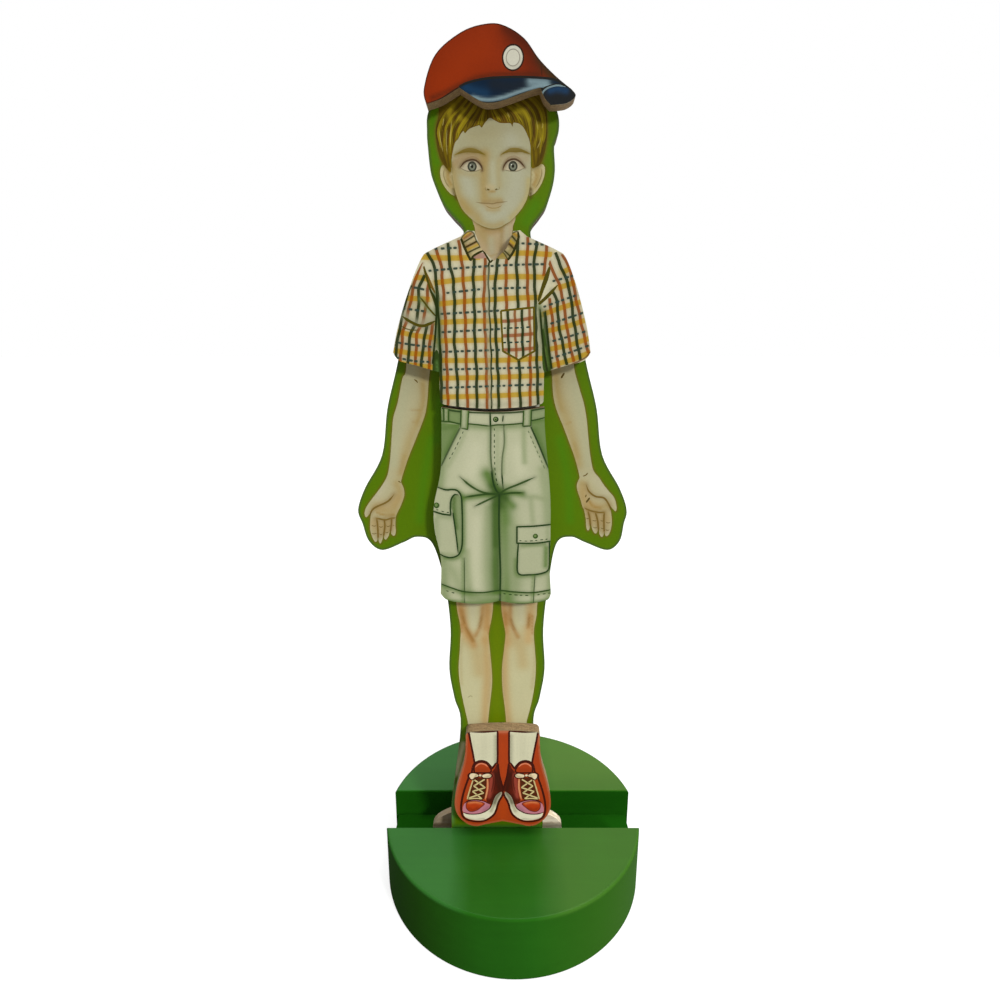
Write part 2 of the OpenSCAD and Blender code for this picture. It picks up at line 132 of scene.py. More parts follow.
class DollInks(bpy.types.PropertyGroup):
    """Inks of the printed sheets."""

    leaf: colour("Border green", "Ground that surrounds the figure", 0.31, 0.435, 0)
    skin: colour("Skin", "Skin in the light", 0.68, 0.655, 0.51)
    # Painted light and shade: the legs are a paler copy of the skin and the face a darker one, for more
    # light low on the doll than high on it.
    skin_leg: colour("Legs", "Skin of the legs, the palest", 0.738, 0.716, 0.555)
    face: colour("Face", "Skin of the face, which is a little darker", 0.642, 0.625, 0.49)
    skin_tan: colour("Skin shade", "Skin on its shaded side", 0.635, 0.555, 0.345)
    skin_deep: colour("Skin, deep shade", "Skin in folds and under the knees", 0.585, 0.465, 0.225)
    knee: colour("Knees", "Strokes that round the knees", 0.62, 0.435, 0.20)
    skin_line: colour("Skin line", "Lines drawn on the skin", 0.375, 0.305, 0.12)
    rim: colour("Limb rim", "Soft brown rim round the limbs", 0.40, 0.335, 0.09)
    hair: colour("Hair", "Middle tone of the hair", 0.43, 0.355, 0.02)
    hair_dark: colour("Hair shade", "Dark strands", 0.235, 0.165, 0.01)
    hair_light: colour("Hair light", "Light strands", 0.66, 0.59, 0.1)
    eye: colour("Eyes", "Iris", 0.46, 0.475, 0.40)
    linen: colour("Underwear", "White vest and pants", 0.77, 0.76, 0.69)
    black: colour("Ink line", "Darkest drawn line", 0.10, 0.09, 0.05)
    cap_red: colour("Cap", "Dome of the cap", 0.495, 0.145, 0)
    cap_dark: colour("Cap shade", "Shaded side of the dome", 0.20, 0.06, 0)
    brim: colour("Brim", "Blue of the brim", 0, 0.095, 0.175)
    brim_light: colour("Brim light", "Shine on the brim", 0.49, 0.58, 0.6)
    cloth: colour("Shirt cloth", "White ground of the shirt", 0.765, 0.742, 0.62)
    ochre: colour("Ochre band", "Broad bands of the plaid", 0.70, 0.56, 0.06)
    rust: colour("Rust line", "Red lines of the plaid", 0.50, 0.255, 0.045)
    pine: colour("Pine line", "Dark green lines of the plaid", 0.115, 0.165, 0.02)
    navy: colour("Navy dashes", "Dashes of the plaid", 0.17, 0.24, 0.20)
    sage: colour("Shorts cloth", "Pale ground of the shorts", 0.688, 0.694, 0.566)
    moss: colour("Shorts shade", "Green shading of the shorts", 0.315, 0.44, 0.165)
    seam: colour("Shorts line", "Seams of the shorts", 0.13, 0.22, 0.08)
    shoe: colour("Shoe red", "Ground and tops of the shoes", 0.64, 0.235, 0.085)
    shoe_dark: colour("Shoe shade", "Shaded sides of the shoes", 0.34, 0.1, 0.05)
    shoe_line: colour("Shoe line", "Outlines of the shoes", 0.24, 0.07, 0.035)
    sock: colour("Socks", "Socks, laces and soles", 0.81, 0.795, 0.67)
    pink: colour("Toe", "Pink of the toe caps", 0.74, 0.47, 0.52)
    card: colour("Sheet edge", "Cut edge and back of a sheet", 0.52, 0.47, 0.36)


class DollFinishes(bpy.types.PropertyGroup):
    """Colours and surface of the wooden and metal pieces."""

    lacquer: colour("Base lacquer", "Green of the round base", 0.145, 0.378, 0.08)
    lacquer_worn: colour("Lacquer at edges", "Thin lacquer along the edges of the base", 0.15, 0.35, 0.08)
    # Painted light: the lacquer of the wall is lighter on the side towards the lamp.
    lacquer_warm: colour("Lacquer, right", "Lacquer towards the lamp", 0.19, 0.36, 0.07)
    # Painted shade: the lacquer of the wall is darker on the side away from the lamp.
    lacquer_dim: colour("Lacquer, left", "Lacquer on the side away from the lamp", 0.10, 0.14, 0)
    # Painted shade: the lacquer inside the slot is darker, as shade falls into the slot.
    lacquer_slot: colour("Lacquer in the slot", "Thick lacquer inside the slot", 0, 0.24, 0)
    sheen_cool: colour("Cool sheen", "Sheen of the top on the left", 0.19, 0.305, 0.20)
    sheen_warm: colour("Warm sheen", "Sheen of the top on the right", 0.27, 0.30, 0.145)
    beech: colour("Bare wood", "Plate and block of the foot", 0.94, 0.90, 0.80)
    beech_dark: colour("Wood grain", "Dark grain of the bare wood", 0.74, 0.62, 0.44)
    # Painted shade: the bare wood is darker on the side away from the lamp.
    beech_dim: colour("Wood, left", "Handled wood on the side away from the lamp", 0.45, 0.36, 0.23)
    fibre: colour("Board edge", "Cut fibreboard of the clothes", 0.59, 0.49, 0.345)
    fibre_dark: colour("Board edge, singed", "Dark fibres of the cut edge", 0.40, 0.315, 0.20)
    figure_edge: colour("Figure edge", "Singed edge of the figure", 0.33, 0.26, 0.12)
    steel: colour("Keeper steel", "Steel discs under the print", 0.62, 0.62, 0.60)
    ferrite: colour("Magnets", "Dark magnet discs", 0.16, 0.16, 0.17)
    gloss: bpy.props.FloatProperty(
        name="Sheet roughness",
        description="Roughness of the printed sheets",
        default=0.46,
        min=0.0,
        max=1.0,
    )


class DollSizes(bpy.types.PropertyGroup):
    """Sizes of the drawing."""

    cell: length("Shading cell", "Spacing of the points that carry soft shading", 0.0006)
    smooth: length("Curve step", "Spacing of points along a drawn curve", 0.0004)


def feed(tree, socket, value):
    """Gives a socket the output of another node, or a plain value."""
    if isinstance(value, Wire):
        tree.links.new(value.socket, socket)
    else:
        socket.default_value = value


class Wire:
    """A value socket that takes part in sums."""

    def __init__(self, tree, socket):
        self.tree, self.socket = tree, socket

    def _sum(self, operation, left, right):
        node = self.tree.nodes.new("ShaderNodeMath")
        node.operation = operation
        for socket, value in zip(node.inputs, (left, right)):
            feed(self.tree, socket, value)
        return Wire(self.tree, node.outputs[0])

    def __add__(self, other):
        return self._sum("ADD", self, other)

    def __radd__(self, other):
        return self._sum("ADD", other, self)

    def __sub__(self, other):
        return self._sum("SUBTRACT", self, other)

    def __rsub__(self, other):
        return self._sum("SUBTRACT", other, self)

    def __mul__(self, other):
        return self._sum("MULTIPLY", self, other)


class Nodes:
    """Shader nodes of one tree."""

    def __init__(self, tree, shader):
        self.tree, self.shader = tree, tree.nodes[shader]

    def node(self, kind, settings=None, output=0, **sockets):
        """Adds a node, sets it up, feeds its sockets and returns one of its outputs.

        A socket goes by its name, or by s and its number where several have the same name.
        """
        node = self.tree.nodes.new("ShaderNode" + kind)
        for key, value in (settings or {}).items():
            setattr(node, key, value)
        for key, value in sockets.items():
            which = int(key[1:]) if key[1:].isdigit() else key.replace("_", " ")
            feed(self.tree, node.inputs[which], value)
        return Wire(self.tree, node.outputs[output])

    def surface(self, **sockets):
        """Feeds sockets of the tree's own shader."""
        for key, value in sockets.items():
            feed(self.tree, self.shader.inputs[key.replace("_", " ")], value)

    def seen(self):
        """1 for what the camera sees directly, in a mirror or through glass."""
        rays = ("Is Camera Ray", "Is Glossy Ray", "Is Transmission Ray")
        camera, glossy, through = (self.node("LightPath", output=ray) for ray in rays)
        return camera + glossy + through


class Finish(Nodes):
    """A material under construction."""

    def __init__(self, name):
        self.material = bpy.data.materials.new(name)
        self.material.use_nodes = True
        super().__init__(self.material.node_tree, "Principled BSDF")

    def place(self, scale):
        """Object coordinates, scaled evenly by one number or along each axis by three."""
        here = self.node("TexCoord", output="Object")
        return self.node("Mapping", Vector=here, Scale=scale if isinstance(scale, tuple) else (scale,) * 3)

    def noise(self, scale, detail=3.0, rough=0.55):
        """Clouds of a fineness that is given by their scale."""
        return self.node("TexNoise", Vector=self.place(scale), Scale=1.0, Detail=detail, Roughness=rough)

    def mix(self, amount, first, second, blend="MIX"):
        """Mixes two colours."""
        first, second = (c if isinstance(c, Wire) else (*c, 1.0) for c in (first, second))
        return self.node(
            "Mix",
            {"data_type": "RGBA", "blend_type": blend, "clamp_result": True},
            output=2,
            s0=amount,
            s6=first,
            s7=second,
        )

    def clamp(self, value, low, high):
        """Spreads low to high over 0 to 1 and clips the rest."""
        return self.node("MapRange", s0=value, s1=low, s2=high)

    def relief(self, height, strength, depth):
        """Raises the surface a little, by a depth in metres."""
        self.surface(Normal=self.node("Bump", Strength=strength, Distance=depth, Height=height))


def dress(node, material):
    """Gives a solid its finish."""
    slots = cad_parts[node].data.materials
    slots.clear()
    slots.append(material)


def curve(points, step, closed=False):
    """Points along a smooth line through the given ones. A point given twice is a corner."""
    p = np.array(points, float)
    if closed:
        run = np.vstack([p[-1:], p, p[:2]])
    else:
        run = np.vstack([2 * p[:1] - p[1:2], p, 2 * p[-1:] - p[-2:-1]])
    out = []
    for a, b, c, d in zip(run, run[1:], run[2:], run[3:]):
        parts = max(1, int(np.ceil(np.linalg.norm(c - b) / step)))
        t = (np.arange(parts) / parts)[:, None]
        slope, bend, twist = c - a, 2 * a - 5 * b + 4 * c - d, 3 * b - a - 3 * c + d
        out.append(0.5 * (2 * b + slope * t + bend * t**2 + twist * t**3))
    if not closed:
        out.append(p[-1:])
    q = np.vstack(out)
    apart = np.linalg.norm(q - np.roll(q, 1, 0), axis=1) > TOUCH
    return q[apart] if closed else q[np.r_[True, apart[1:]]]


def round_trip(points):
    """The same points, back to the first one."""
    return [*points, points[0]]


def moved(points, across=0.0, up=0.0):
    """The same points, a little to the side."""
    return [(x + across, z + up) for x, z in points]


def lengths(q):
    """How far along a line each of its points lies."""
    return np.r_[0, np.cumsum(np.linalg.norm(np.diff(q, axis=0), axis=1))]


def ribbon(points, width, ends, step):
    """Outline of a drawn line that thins towards its ends. ends are the shares of the width left there."""
    q = curve(points, step=step)
    along = lengths(q)
    share = along / along[-1]
    full = np.minimum(1, np.minimum(ends[0] + share * TAPER, ends[1] + (1 - share) * TAPER))
    ahead = np.gradient(q, axis=0)
    ahead /= np.linalg.norm(ahead, axis=1)[:, None] + TINY
    side = np.c_[-ahead[:, 1], ahead[:, 0]] * (width / 2 * full)[:, None]
    return np.vstack([q + side, (q - side)[::-1]])


def outer_loop(edges):
    """The outline of a flat net: its edges that no second triangle shares, end to end."""
    after = {a: b for a, b in edges if (b, a) not in edges}
    loop = [min(after)]
    while after[loop[-1]] != loop[0]:
        loop.append(after[loop[-1]])
    if len(loop) != len(after):
        raise RuntimeError("a sheet has more than one outline")
    return loop


def inside(points, ring):
    """Which points lie inside a closed ring, by winding."""
    x, z = points[:, :1], points[:, 1:]
    a, b = ring, np.roll(ring, -1, 0)
    left = (b[:, 0] - a[:, 0]) * (z - a[:, 1]) - (x - a[:, 0]) * (b[:, 1] - a[:, 1])
    up = (a[:, 1] <= z) & (b[:, 1] > z) & (left > 0)
    down = (a[:, 1] > z) & (b[:, 1] <= z) & (left < 0)
    return up.sum(1) != down.sum(1)


class Sheet:
    """A printed sheet: inks laid in order over the outline of a CAD sheet, then made into one plate."""

    def __init__(self, node, ground, sizes):
        self.node, self.ground = node, np.array(ground)
        self.cell, self.step = sizes.cell / MM, sizes.smooth / MM
        low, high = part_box(node)
        self.front, self.back = low.y, high.y
        self.rim = self._rim()
        self.inks = []
        self.mirror = None

    def at(self, *spots):
        """Points of the sheet at spots of the picture, given in pixels across and down in turn.

        With a mirror set, they lie on the other side of it.
        """
        across, down = (np.reshape(spots, (-1, 2)).T / PICTURE - 0.5) * SENSOR / LENS
        far = (self.front - EYE[1]) / (np.sin(TILT) - down * np.cos(TILT))
        x = EYE[0] + across * far
        z = EYE[2] - (np.cos(TILT) + down * np.sin(TILT)) * far
        points = zip(x / MM, z / MM)
        if self.mirror is None:
            return list(points)
        return [(2 * self.mirror - x, z) for x, z in points]

    def runs(self, *lists):
        """Several lists of spots, each as its points on the sheet."""
        return [self.at(*spots) for spots in lists]

    def _rim(self):
        """Outline of the sheet's front face, in millimetres."""
        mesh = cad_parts[self.node].data
        edges = set()
        for face in mesh.polygons:
            ring = [tuple(round(c, 7) for c in mesh.vertices[i].co) for i in face.vertices]
            if all(abs(p[1] - self.front) < LEVEL for p in ring):
                edges.update(zip(ring, ring[1:] + ring[:1]))
        loop = outer_loop(edges)
        return np.array([(x / MM, z / MM) for x, _, z in loop])

    def fill(self, points, ink, label, alpha=1.0, smooth=True):
        """Lays an ink with a clean edge."""
        ring = curve(points, self.step, closed=True) if smooth else np.array(points, float)
        self.inks.append(("ring", ring, np.array(ink), alpha, label, None))

    def line(self, points, width, ink, ends=(0.25, 0.25), alpha=1.0, within=None, label=None):
        """Draws a line."""
        ring = ribbon(points, width, ends, self.step)
        self.inks.append(("ring", ring, np.array(ink), alpha, label, within))

    def stroke(self, points, width, ink, ends=(0.25, 0.25), alpha=1.0, within=None):
        """Draws a line with the soft sides of a pencil."""
        self.soft(points, width * PENCIL_SIDES, ink, alpha * PENCIL_SOFT, within)
        self.line(points, width, ink, ends, alpha, within)

    def dot(self, centre, across, high, ink, label=None, alpha=1.0, turn=0.0, within=None):
        """Lays a round or oval spot."""
        a = np.linspace(0, 2 * np.pi, ROUND + 1)[:-1]
        x, z = across / 2 * np.cos(a), high / 2 * np.sin(a)
        c, s = np.cos(np.radians(turn)), np.sin(np.radians(turn))
        ring = np.c_[x * c - z * s, x * s + z * c] + np.array(centre)
        self.inks.append(("ring", ring, np.array(ink), alpha, label, within))

    def dashes(self, points, width, ink, dash, gap, alpha, within):
        """Draws a broken line, with dashes of five lengths in turn."""
        first, shortest, spread, ends = 0.1, 0.8, 0.4, (0.7, 0.7)
        q = curve(points, step=0.1)
        along = lengths(q)
        for k, start in enumerate(np.arange(first, along[-1] - dash * 0.5, dash + gap)):
            end = start + dash * (shortest + spread * ((k * 7) % 5) / 4)
            reach = np.linspace(start, min(end, along[-1]), 3)
            piece = np.c_[[np.interp(reach, along, q[:, i]) for i in (0, 1)]].T
            self.line(piece, width, ink, ends, alpha, within)

    def soft(self, points, radius, ink, alpha=1.0, within=None):
        """Breathes a soft stroke over the inks that are there, or over those with a label."""
        q = curve(points, step=max(radius / 3, 0.2)) if len(points) > 1 else np.array(points, float)
        self.inks.append(("soft", q, np.array(ink), alpha, radius, within))

    def _each(self, draw, settings, within, entries):
        """Draws every entry: its first values are settings, and the rest are runs of spots."""
        for entry in entries.values():
            for points in self.runs(*entry[settings:]):
                draw(points, *entry[:settings], within)

    def shades(self, within=None, **entries):
        """Soft strokes, each with its radius, ink and strength, and then its runs of spots."""
        self._each(self.soft, 3, within, entries)

    def lines(self, within=None, **entries):
        """Lines, each with its width, ink, shares left at the ends and strength, and then its runs."""
        self._each(self.line, 4, within, entries)

    def strokes(self, within=None, **entries):
        """Pencil lines, each with the same values as a line."""
        self._each(self.stroke, 4, within, entries)

    def stitches(self, within=None, **entries):
        """Broken lines, each with its width, ink, dash, gap and strength, and then its runs."""
        self._each(self.dashes, 5, within, entries)

    def _net(self):
        """Triangles that keep to every drawn edge."""
        rings = [self.rim] + [ink[1] for ink in self.inks if ink[0] == "ring"]
        low, high = self.rim.min(0), self.rim.max(0)
        grid = []
        for k, row in enumerate(np.arange(low[1], high[1], self.cell * ROW)):
            across = np.arange(low[0] + (k % 2) * self.cell / 2, high[0], self.cell)
            grid.append(np.c_[across, np.full(len(across), row)])
        loose = np.vstack(grid)
        loose = loose[inside(loose, self.rim)]
        points, edges, at = [loose], [], len(loose)
        for ring in rings:
            n = len(ring)
            points.append(ring)
            edges += [(at + i, at + (i + 1) % n) for i in range(n)]
            at += n
        flat = [Vector(p) for p in np.vstack(points)]
        out, _, faces, *_ = delaunay_2d_cdt(flat, edges, [], 0, TOUCH, False)
        out = np.array([tuple(v) for v in out])
        faces = np.array([f for f in faces if len(f) == 3])
        faces = faces[inside(out[faces].mean(1), self.rim)]
        return out, faces

    def _tints(self, out, faces):
        """Colours at the corners of the triangles, ink by ink."""
        corners, middle = out[faces], out[faces].mean(1)
        tint = np.tile(self.ground, (len(faces), 3, 1))
        label = np.full(len(faces), "", dtype="<U12")
        for kind, shape, ink, alpha, extra, within in self.inks:
            reach = extra * REACH if kind == "soft" else 0.0
            near = ((middle > shape.min(0) - reach) & (middle < shape.max(0) + reach)).all(1)
            if within is not None:
                near &= np.isin(label, within)
            near = np.flatnonzero(near)
            if not len(near):
                continue
            if kind == "ring":
                hit = near[inside(middle[near], shape)]
                tint[hit] += (ink - tint[hit]) * alpha
                if extra or (extra == "" and alpha == 1.0):
                    label[hit] = extra
            else:
                spots = corners[near].reshape(-1, 2)
                far = np.full(len(spots), np.inf)
                for part in np.array_split(shape, max(1, len(shape) // BATCH)):
                    far = np.minimum(far, np.linalg.norm(spots[:, None] - part[None], axis=2).min(1))
                amount = (alpha * np.exp(-((far / extra) ** 2) * FADE)).reshape(-1, 3, 1)
                tint[near] += (ink - tint[near]) * amount
        return tint

    def plate(self, name, edge):
        """Makes the closed plate with its inks as corner colours."""
        out, faces = self._net()
        tint = self._tints(out, faces)
        used, faces = np.unique(faces, return_inverse=True)
        faces, out = faces.reshape(-1, 3), out[used]
        pairs = np.vstack([faces[:, [0, 1]], faces[:, [1, 2]], faces[:, [2, 0]]])
        loop = outer_loop(set(map(tuple, pairs.tolist())))
        n, total = len(loop), len(out)
        ring = [Vector(out[i]) for i in loop]
        ring_edges = [(i, (i + 1) % n) for i in range(n)]
        _, _, rear, *_ = delaunay_2d_cdt(ring, ring_edges, [], 0, FINE_TOUCH, False)
        rear = np.array(rear)[inside(out[loop][np.array(rear)].mean(1), out[loop])].tolist()
        verts = np.vstack([
            np.c_[out[:, 0] * MM, np.full(total, self.front), out[:, 1] * MM],
            np.c_[out[loop, 0] * MM, np.full(n, self.back), out[loop, 1] * MM],
        ])
        sides = [(loop[(i + 1) % n], loop[i], total + i, total + (i + 1) % n) for i in range(n)]
        backs = [tuple(total + i for i in reversed(f)) for f in rear]
        mesh = bpy.data.meshes.new(name)
        mesh.from_pydata(verts.tolist(), [], faces.tolist() + sides + backs)
        mesh.validate()
        corners = np.ones((len(mesh.loops), 4), np.float32)
        corners[:, :3] = edge
        corners[: faces.size, :3] = tint.reshape(-1, 3)
        ink = mesh.color_attributes.new("ink", "FLOAT_COLOR", "CORNER")
        ink.data.foreach_set("color", corners.ravel())
        self._map(mesh, faces.size, total, loop)
        piece = bpy.data.objects.new(name, mesh)
        bpy.context.scene.collection.objects.link(piece)
        return piece

    def _map(self, mesh, printed, total, loop):
        """A flat map: the print fills nearly all of it, the edge and the back keep to a strip."""
        margin, print_wide, print_high = 0.005, 0.94, 0.99
        back_at, back_wide = 0.955, 0.02
        edge_front, edge_back = 0.985, 0.995
        which = np.zeros(len(mesh.loops), np.int32)
        mesh.loops.foreach_get("vertex_index", which)
        co = np.zeros(len(mesh.vertices) * 3, np.float32)
        mesh.vertices.foreach_get("co", co)
        co = co.reshape(-1, 3)
        span = (co - co.min(0)) / np.maximum(co.max(0) - co.min(0), TINY)
        uv = np.c_[span[which, 0] * print_wide + margin, span[which, 2] * print_high + margin]
        turn = np.zeros(len(mesh.vertices))
        turn[loop] = turn[total:] = np.arange(len(loop)) / len(loop)
        rest = which[printed:]
        rear = np.arange(len(rest)) >= 4 * len(loop)
        edge = np.where(rest < total, edge_front, edge_back)
        uv[printed:, 0] = np.where(rear, back_at + back_wide * span[rest, 0], edge)
        uv[printed:, 1] = np.where(rear, uv[printed:, 1], turn[rest])
        mesh.uv_layers.new(name="OFBake").data.foreach_set("uv", uv.astype(np.float32).ravel())


def print_finish(name, roughness):
    """Varnished print: the drawn inks with a fine grain of the sheet and of the varnish."""
    f = Finish(name)
    ink = f.node("VertexColor", {"layer_name": "ink"})
    fleck = f.clamp(f.noise(2600, detail=2.0), low=0.3, high=0.7)
    cloud = f.clamp(f.noise(90, detail=4.0), low=0.25, high=0.75)
    grain = 0.90 + fleck * 0.07
    light, blue = grain + cloud * 0.06, grain + cloud * 0.05
    grey = f.node("CombineColor", Red=light, Green=light, Blue=blue)
    f.surface(
        Base_Color=f.mix(1.0, ink, grey, "MULTIPLY"),
        Roughness=roughness - 0.05 + cloud * 0.10,
        Specular_IOR_Level=0.07,
    )
    f.relief(f.noise(700), strength=0.12, depth=0.0002)
    return f.material


def between(first, second, share):
    """A colour between two."""
    return tuple(a + (b - a) * share for a, b in zip(first, second))


def strands(s, first, second, count, width, inks, within, alpha):
    """Draws hairs that run between two guide lines."""
    a, b = np.array(first), np.array(second)
    sway, turn, wave = 0.12, 5.1, 1.7
    for k in range(count):
        middle = (k + 0.5) / count
        swing = sway * np.sin(turn * k + np.arange(len(a)) * wave)[:, None]
        run = a + (b - a) * np.clip(middle + swing * (0.5 / count + 0.05), 0, 1)
        thick = width * (0.7 + 0.3 * ((k * 3) % 4) / 2)
        ink = inks[(k * 2 + k // 3) % len(inks)]
        s.line(run, thick, ink, (0.3, 0.1), alpha, within)


def limb(s, points, rim, skin):
    """Skin with the soft brown rim that the print has round every limb."""
    s.soft(round_trip(points), 0.5, rim, 0.8)
    s.fill(points, skin, "skin")


def draw_arms(s, i):
    """Arms, with the soft shading of the hands."""
    left = s.at(436,258, 420,266, 411,292, 407,330, 406.1,369, 402.3,379, 397.8,402, 393.4,417.4,
        392.1,431.4, 391.1,446.7, 389.8,462, 387.6,474.8, 383.2,483.7, 376.8,492.7, 370.4,501, 365.9,508,
        364.6,514, 366.2,517.2, 369.3,514.2, 371.6,511.2, 370.6,516, 370.2,522, 370.2,529.6, 372.3,537.3,
        375.2,541.8, 377.2,540.4, 378,536, 378.6,540.4, 380.2,543.4, 382.2,540.2, 383.7,533.6, 384,537.6,
        385.6,539.6, 388.4,536.2, 390.5,529.4, 391.2,533.4, 393.4,535.8, 395.2,534.4, 395.8,530.9,
        395.4,524.5, 395.9,516.9, 397.8,511.8, 400.4,506.7, 402.9,500.3, 404.4,493.9, 403.4,487.6,
        401.2,482.4, 401.7,478.6, 404.8,468.4, 408.7,456.9, 413.8,444.2, 418.9,431.4, 423.3,419.9,
        425.9,411, 427.6,398.3, 428.4,385.5, 430,370, 436,330, 446,290)
    right = s.at(548,256, 562,266, 570,290, 573,330, 573.9,365.7, 579,386.8, 584.1,404.6, 586.7,419.9,
        587.9,432.7, 589.2,446.7, 591.1,460.8, 593.7,471, 598.8,477.3, 603.9,485, 609,491.4, 613.4,496.5,
        615.6,501.6, 616.6,508, 615.6,511.3, 612.8,508.8, 609.6,505.6, 610.8,511, 611.8,519.4,
        611.3,527.1, 609.4,533.4, 606.6,536.2, 604.8,534, 604.2,529.5, 603.6,534.4, 601.8,537,
        599.6,534.4, 598.5,527.6, 597.4,531.6, 595.4,533.6, 592.8,530.6, 590.4,523.4, 589.6,528.4,
        587.9,530.6, 586.3,527.1, 585.8,519.4, 584.1,510.5, 582.2,506, 580.3,499, 577.7,491.4, 576.8,485,
        578.6,479.9, 579.6,477.3, 577.7,468.4, 574.5,456.9, 569.4,442.9, 563.7,427.6, 558,413.6,
        554.1,400.8, 552.6,388.1, 551.6,372, 545,330, 538,290)
    limb(s, left, i.rim, i.skin)
    limb(s, right, i.rim, i.skin)
    pale = between(i.skin, (1, 1, 1), 0.08)
    warm = between(i.skin_tan, i.skin_deep, 0.45)
    cool_skin = linear(0.64, 0.66, 0.53)
    ruddy = linear(0.69, 0.56, 0.38)
    s.shades("skin",
        arm_shades=(2.0, i.skin_tan, 0.7, (424,372, 425,398, 419,420, 409,445, 402,474), (556,372,
            558.5,394, 565,415, 572.8,441, 578.7,464)),
        elbow_glows=(0.9, warm, 0.5, (422.6,384, 423.4,404, 418,424), (555.6,376, 557.4,396, 561,410),
            (574,444, 578,456), (404,456, 401,472)),
        inner_edges=(0.4, between(i.skin, i.skin_tan, 0.35), 0.7, (427,380, 426,402, 421,420, 412,444),
            (553.6,384, 556,402, 563,424, 572,448)),
        outer_arms=(1.5, between(i.skin, cool_skin, 0.6), 0.55, (407,384, 401,412, 396,440, 394,464),
            (575,384, 581,412, 585,440, 588,464)),
        thumb_lights=(1.3, pale, 0.5, (385,484, 377,497), (596,480, 606,493)),
        palm_heels=(1.5, i.skin_tan, 0.8, (397,484, 400,494, 395,506), (582,484, 582.6,496, 587,506)),
        finger_roots=(1.5, i.skin_tan, 0.75, (376,508, 386,511, 394,512), (590,506, 598,508, 607,506)),
        finger_shades=(0.8, between(i.skin_tan, i.skin, 0.3), 0.6, (373,520, 374,534), (381,522,
            381,536), (388,522, 387,533), (590,514, 591,526), (596,516, 597.6,530), (602.4,516, 603,532),
            (608,514, 608,530)),
        palm_shades=(2.2, between(i.skin_tan, ruddy, 0.5), 0.55, (381,507, 390,505, 397,499), (584,492,
            587,502, 595,507), (374,524, 382,527, 392,525), (588,516, 597,520, 606,519)))


def draw_hands(s, i):
    """Fingers and creases of the open hands, and small marks on the arms."""
    ink = i.skin_line
    fold = between(i.skin_deep, ink, 0.45)
    thumb_creases = s.runs((394,494.4, 390,499.4, 385.4,502.8, 375.4,507.4, 371.6,511, 370,514.8),
        (586.2,484.6, 588.8,491.3, 595.5,496.4, 604,498, 609,504.8, 610.6,509.6))
    for run in thumb_creases:
        s.line(run, 0.46, ink, (0.1, 0.6))
        s.soft(run, 0.8, fold, 0.5, "skin")
    finger_creases = s.runs((376,518.2, 380.2,519, 385.3,519.9, 391,518.4, 395.4,517.8), (584.6,508.1,
        590.5,510.7, 598.9,512.4, 604.6,512.2))
    for run in finger_creases:
        s.line(run, 0.42, ink, (0.3, 0.4))
        s.soft(run, 0.7, fold, 0.5, "skin")
    s.shades("skin",
        palm_folds=(0.4, i.skin_deep, 0.8, (377.7,513, 385.3,515.4, 394.5,515), (589.6,501.4,
            593.8,506.5, 600.6,508.1)))
    s.lines(
        dark_marks=(0.5, between(ink, i.black, 0.3), (0.3, 0.3), 1.0, (589.8,497.6, 588,500, 586,502.6),
            (564.4,372.8, 561,378.4)),
        wrist_marks=(0.32, ink, (0.2, 0.3), 1.0, (582.6,476.2, 585.4,475.4, 588,472.8), (414,379.4,
            416,380.6, 417.8,383), (398,481, 401,482.6), (586.4,494.4, 585.4,497.4)))
    s.shades("skin",
        forearm_marks=(0.3, i.skin_deep, 0.4, (411,409.6, 420,410), (412,421.6, 419,421), (566,424,
            571,422)))
    fingers = s.runs((376.8,519, 377.7,526.6, 378.1,537.6), (384.4,519.9, 384.8,526.6, 383.7,535.4),
        (391.6,518.6, 391.4,524, 390.5,531), (588,511.5, 589.6,517.6, 590.4,525.4), (595.6,513,
        597.6,520.6, 598.5,529.4), (604.2,512.8, 603.9,521, 604.2,531.4))
    for run in fingers:
        s.line(run, 0.46, ink, (0.5, 0.9))
        s.soft(run, 0.8, fold, 0.6, "skin")
    s.lines(
        knuckles=(0.24, ink, (0.2, 0.2), 0.8, (371.4,525, 374,526.2, 376.4,525.4), (371.6,533, 374,534,
            377,533), (379,526, 381,527.4, 383,526), (379.2,533.6, 381,534.8, 382.4,533.4), (386,525.4,
            388,526.6, 390.4,525.4), (385.4,532, 387,532.8, 388.6,531.6), (392.6,525, 394.4,525.8),
            (605.6,522, 608,523, 610.6,522.2), (605.4,529.4, 607.4,530.4, 609.6,529.6), (600.4,520,
            602,521.2, 603.8,520.4), (600.8,527.6, 602.4,528.8, 604.2,528), (592.4,520, 594.4,521,
            596.6,520.4), (593,527, 595,528, 597.4,527.2), (586.2,518, 587.6,518.8, 589,518.2)))


